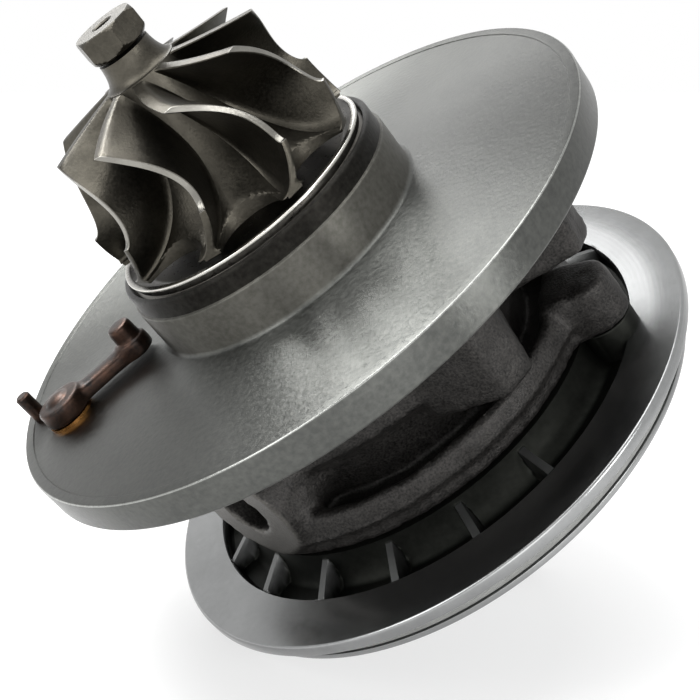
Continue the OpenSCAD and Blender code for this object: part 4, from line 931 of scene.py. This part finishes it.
# %% Vane crank
CRANK_PIVOT_R = 42.5
CRANK_PIVOT_ANGLE = math.radians(-157)
CRANK_DIR = 31
CRANK_LEN = 14.6
CRANK_LOW_Z = 0.575
CRANK_HIGH_Z = 3.575
CRANK_EYE_R = 3.9
CRANK_TIP_R = 2.7
CRANK_WEB = 1.9
FINGER_R = 2.1
FINGER_TOP_Z = 6.375
CRANK_SHAFT_R = 2.5
CRANK_GROOVE_R = 2.05
CRANK_END_R = 2.2
CRANK_FLAT_R = 1.9
CRANK_TOP_Z = 1.0
CRANK_SHAFT_Z = -9.8
DRIVEN_TOP_Z = -9.6
CRANK_END_Z = -13.8
CLIP_LOW_Z = -6.725
CLIP_HIGH_Z = -5.825
CRANK_STEP = 0.2
CRANK_COUNTS = (120, 51, 34)

crank_low = np.array([-5.0, -5.0, CRANK_LOW_Z - 2*CRANK_STEP])
x, y, z = np.meshgrid(*(np.arange(n)*CRANK_STEP + start for n, start in zip(CRANK_COUNTS, crank_low)),
                      indexing="ij")
eye = smooth_max(np.hypot(x, y) - CRANK_EYE_R, z - CRANK_HIGH_Z, 0.5)
tip = smooth_max(np.hypot(x - CRANK_LEN, y) - CRANK_TIP_R, z - CRANK_HIGH_Z + 0.3, 0.5)
web = smooth_max(np.maximum(np.abs(y) - CRANK_WEB, np.maximum(-x, x - CRANK_LEN)), z - CRANK_HIGH_Z + 0.6, 0.7)
finger = smooth_max(np.hypot(x - CRANK_LEN, y) - FINGER_R, z - FINGER_TOP_Z, 0.5)
rivet = np.hypot(np.hypot(x, y), (z - CRANK_HIGH_Z)*2.5) - CRANK_SHAFT_R*0.8
arm = smooth_min(smooth_min(smooth_min(eye, tip, 0.4), web, 0.8), np.minimum(finger, rivet), 0.25)
arm = smooth_max(arm, CRANK_LOW_Z - z, 0.3)
crank_arm = surface_nets(arm.astype(np.float32), crank_low, CRANK_STEP)
crank_shaft = turned(rounded([
    [0, CRANK_TOP_Z, 0], [0, CRANK_SHAFT_Z, 0], [CRANK_SHAFT_R, CRANK_SHAFT_Z, 0.2],
    [CRANK_SHAFT_R, CLIP_LOW_Z, 0],
    [CRANK_GROOVE_R, CLIP_LOW_Z, 0], [CRANK_GROOVE_R, CLIP_HIGH_Z, 0], [CRANK_SHAFT_R, CLIP_HIGH_Z, 0],
    [CRANK_SHAFT_R, CRANK_TOP_Z, 0]]), 72)
driven_end = turned(
    rounded([[0, DRIVEN_TOP_Z, 0], [0, CRANK_END_Z, 0], [CRANK_END_R, CRANK_END_Z, 0.3],
             [CRANK_END_R, DRIVEN_TOP_Z, 0]]), 144,
    lambda r, z, t: (np.minimum(r, CRANK_FLAT_R/np.maximum(np.abs(np.sin(t)), 0.01)), z))
crank_pivot = CRANK_PIVOT_R*np.array([math.cos(CRANK_PIVOT_ANGLE), math.sin(CRANK_PIVOT_ANGLE)])
crank_shells = [spun(shape, CRANK_DIR) for shape in (crank_arm, crank_shaft, driven_end)]
crank_shells = [(points + [*crank_pivot, 0], faces) for points, faces in crank_shells]
add_piece("vane_crank_forged", crank_shells, "crank", "black", "black_steel", ["vane_crank"])

# %% [markdown]
# ## Shaft and nut
# The shaft is ground where it runs and threaded where the nut sits. The thread is rolled, so its crests and
# roots are round: the radius falls and rises once along each pitch, and the phase follows the turn. The nut's
# radius is cut to a hexagon, and its slanted end then gives the curved chamfer of a turned nut by itself.

# %% Rotor shaft
STUB_R = 2.5
STUB_END_Z = -76.95
THREAD_TOP_Z = -73.0
THREAD_PITCH = 0.8
THREAD_DEPTH = 0.3
JOURNAL_R = 4.0
SHOULDER_Z = -26.5
SEAL_END_Z = -1.65


def thread(r, z, t):
    """A rolled right-hand thread that runs out at its top: r - depth (1 - cos(2 pi z/pitch - t))/2."""
    wave = (1 - np.cos(TAU*z/THREAD_PITCH - t))/2
    inside = np.clip((THREAD_TOP_Z - z)/0.4, 0, 1)*(r > STUB_R - 0.01)
    return r - THREAD_DEPTH*wave*inside, z


stub_z = np.linspace(THREAD_TOP_Z + 0.2, STUB_END_Z + 0.6, 48)
shaft_outline = np.concatenate([
    [[0, WELD_Z - 0.05], [SEAL_HUB_R, WELD_Z - 0.05], [SEAL_HUB_R, SEAL_END_Z], [JOURNAL_R, SEAL_END_Z],
     [JOURNAL_R, SHOULDER_Z], [STUB_R, SHOULDER_Z]],
    np.stack([np.full(len(stub_z), STUB_R), stub_z], -1),
    [[STUB_R - 0.6, STUB_END_Z], [0, STUB_END_Z]]])
add_piece("rotor_shaft_ground", [turned(shaft_outline, 120, thread)], "rotor", "shaft", "shaft_steel",
          ["rotor_shaft"])

# %% Compressor nut
NUT_TOP_Z = -67.25
NUT_FLANGE_R = 5.4
NUT_FLANGE_Z = -68.45
NUT_HEX_R = 4.6
NUT_END_Z = -73.45
nut_outline = np.concatenate([
    rounded([[STUB_R + 0.02, NUT_TOP_Z, 0], [NUT_FLANGE_R, NUT_TOP_Z, 0.2], [NUT_FLANGE_R, NUT_FLANGE_Z, 0.3],
             [NUT_HEX_R - 0.2, NUT_FLANGE_Z - 0.3, 0], [NUT_HEX_R - 0.2, NUT_FLANGE_Z - 0.5, 0]], steps=4),
    [NUT_HEX_R + 0.2, NUT_END_Z + 1.0] + chamfer*[-1.0, -1.0],
    [[STUB_R + 0.4, NUT_END_Z], [STUB_R + 0.02, NUT_END_Z + 0.4]]])


def nut_flats(r, z, t):
    """Below the flange, the smaller of r and the hexagon's distance from the axis."""
    return np.where(z < NUT_FLANGE_Z - 0.1, np.minimum(r, hexagon(NUT_HEX_R, t)), r), z


nut = turned(nut_outline, HEX_COLUMNS, nut_flats)
add_piece("compressor_nut_flanged", [nut], "rotor", "screw", "screw_steel", ["compressor_nut"])

# %% [markdown]
# ## The remaining nodes
# The solids of rings, clips, bushes, screws and the pin are right as they are, so they only get their finish.

# %% Finishes of the kept nodes
KEPT = {
    "black": ["locating_pin"],
    "bronze": ["crank_bush", "journal_bearing_turbine", "journal_bearing_compressor", "thrust_bearing"],
    "spring": ["turbine_seal_ring", "bearing_circlips", "compressor_seal_ring", "crank_clip", "oil_deflector"],
    "screw": ["backplate_screws", "thrust_bearing_screws"],
    "shaft": ["thrust_washer", "thrust_sleeve"],
    "rubber": ["backplate_gasket"],
    "silicone": ["cover_o_ring"],
}
for finish, names in KEPT.items():
    for name in names:
        mesh = frame["nodes"][name].data
        mesh.materials.clear()
        mesh.materials.append(FINISH[finish])
print(sum(len(names) for names in KEPT.values()), "nodes keep their solids")

# %% [markdown]
# ## The floor
# The cartridge lies on the rim of its backplate and the end of its shaft, so the floor's normal leans from
# the rotor axis. The floor is white for the camera and in reflections, but keeps the object's shadow: it sends
# part of its white by itself, more of it further out, and the rest is lit.

# %% Floor
CAMERA_TILT = math.radians(14.5)
FLOOR_SIZE = 3000.0
# Own light of the paper, from below the object to where its shadow ends, in mm
GLOW_NEAR, GLOW_FAR = 45, 110
GLOW_LOW = 0.66
PAPER_GREY = 0.35
up = math.cos(CAMERA_TILT)*image_up - math.sin(CAMERA_TILT)*forward
away = unit(forward - (forward @ up)*up)
lowest = math.inf
for made in bpy.data.objects:
    if made.type == "MESH":
        co = np.empty(len(made.data.vertices)*3, np.float32)
        made.data.vertices.foreach_get("co", co)
        lowest = min(lowest, float((co.reshape(-1, 3) @ up).min())/MM)
foot = up*(lowest - 0.05)


def place(sideways, height, distance):
    """A point above the floor: so far to the image's right, up, and away from the camera, in mm."""
    return foot + sideways*image_right + height*up + distance*away


def shows_background(tree):
    """One for the rays that show the background: the camera's, those through glass and those off gloss."""
    rays = add_node(tree, "ShaderNodeLightPath").outputs
    shown = rays["Is Camera Ray"]
    for kind in ("Is Transmission Ray", "Is Glossy Ray"):
        shown = add_node(tree, "ShaderNodeMath", {0: shown, 1: rays[kind]}, operation="MAXIMUM").outputs[0]
    return shown


corners = [place(i*FLOOR_SIZE/2, 0, j*FLOOR_SIZE/2) for i, j in ((-1, -1), (1, -1), (1, 1), (-1, 1))]
floor_mesh = bpy.data.meshes.new("floor")
floor_mesh.from_pydata([(c*MM).tolist() for c in corners], [], [[0, 1, 2, 3]])
floor = in_scene("floor", floor_mesh)

paper = bpy.data.materials.new("white_paper_sweep")
paper.use_nodes = True
tree = paper.node_tree
matt = add_node(tree, "ShaderNodeBsdfDiffuse", {"Color": (PAPER_GREY, PAPER_GREY, PAPER_GREY, 1)})
spot = add_node(tree, "ShaderNodeTexCoord").outputs["Object"]
reach = add_node(tree, "ShaderNodeVectorMath", {0: spot, 1: tuple(foot*MM)}, operation="DISTANCE")
own = add_node(tree, "ShaderNodeMapRange", {
    "Value": reach.outputs["Value"], "From Min": GLOW_NEAR*MM, "From Max": GLOW_FAR*MM,
    "To Min": GLOW_LOW, "To Max": 1.0})
glow = add_node(tree, "ShaderNodeEmission", {"Color": (1, 1, 1, 1), "Strength": own.outputs[0]})
seen = add_node(tree, "ShaderNodeAddShader", {0: matt.outputs[0], 1: glow.outputs[0]})
sheet = add_node(tree, "ShaderNodeMixShader", {
    0: shows_background(tree), 1: matt.outputs[0], 2: seen.outputs[0]})
tree.links.new(sheet.outputs[0], tree.nodes["Material Output"].inputs["Surface"])
floor_mesh.materials.append(paper)
print("floor", round(lowest, 2), "mm along its normal", up.round(3))

# %% [markdown]
# ## Background and lamps
# A strength of one is white, for the camera and in reflections. The soft light of the room is weaker and comes
# from above and behind. The brushed disc draws each lamp out into a streak, so the lamps stand where the
# streaks point, at a power that gives the disc its tones.

# %% World
ROOM_LOW, ROOM_HIGH = 0.1, 0.8
world = bpy.data.worlds.new("studio")
bpy.context.scene.world = world
world.use_nodes = True
tree = world.node_tree
direction = add_node(tree, "ShaderNodeTexCoord").outputs["Generated"]
bright_side = unit(0.80*up + 0.55*away + 0.15*image_right)
facing = add_node(tree, "ShaderNodeVectorMath", {0: direction, 1: tuple(bright_side)}, operation="DOT_PRODUCT")
studio = add_node(tree, "ShaderNodeMapRange", {
    "Value": facing.outputs["Value"], "From Min": 0.3, "From Max": 0.95,
    "To Min": ROOM_LOW, "To Max": ROOM_HIGH},
    interpolation_type="SMOOTHSTEP")
strength = add_node(tree, "ShaderNodeMix", {0: shows_background(tree), 2: studio.outputs[0], 3: 1.0})
tree.links.new(strength.outputs[0], tree.nodes["Background"].inputs["Strength"])
tree.nodes["Background"].inputs["Color"].default_value = (1, 1, 1, 1)
print("the room's light goes from", ROOM_LOW, "to", ROOM_HIGH)

# %% Lamps
LAMPS = (
    # name, place (right, up, away) in mm, size in mm, power in W
    ("softbox_above", (-140, 480, -40), 400, 2.4),
    ("softbox_back", (-250, 400, 420), 160, 0.42),
    ("spot_left", (-300, 400, 150), 160, 1.9),
    ("spot_high", (-200, 460, 150), 160, 0.35),
    ("softbox_left", (-420, 260, -260), 260, 1.1),
    ("strip_right", (330, 150, -300), 160, 0.7),
    ("fill_low", (60, 50, -360), 240, 0.5),
)
LAMP_AIM = np.array([0, 0, -10.0])
for name, spot, size, power in LAMPS:
    lamp = bpy.data.lights.new(name, "AREA")
    lamp.size = size*MM
    lamp.energy = power
    at = place(*spot)
    back = unit(at - LAMP_AIM)
    side = unit(np.cross(up, back))
    in_scene(name, lamp).matrix_world = standing(side, np.cross(back, side), back, at)
print(len(LAMPS), "lamps")

bpy.context.scene.view_settings.view_transform = "Standard"
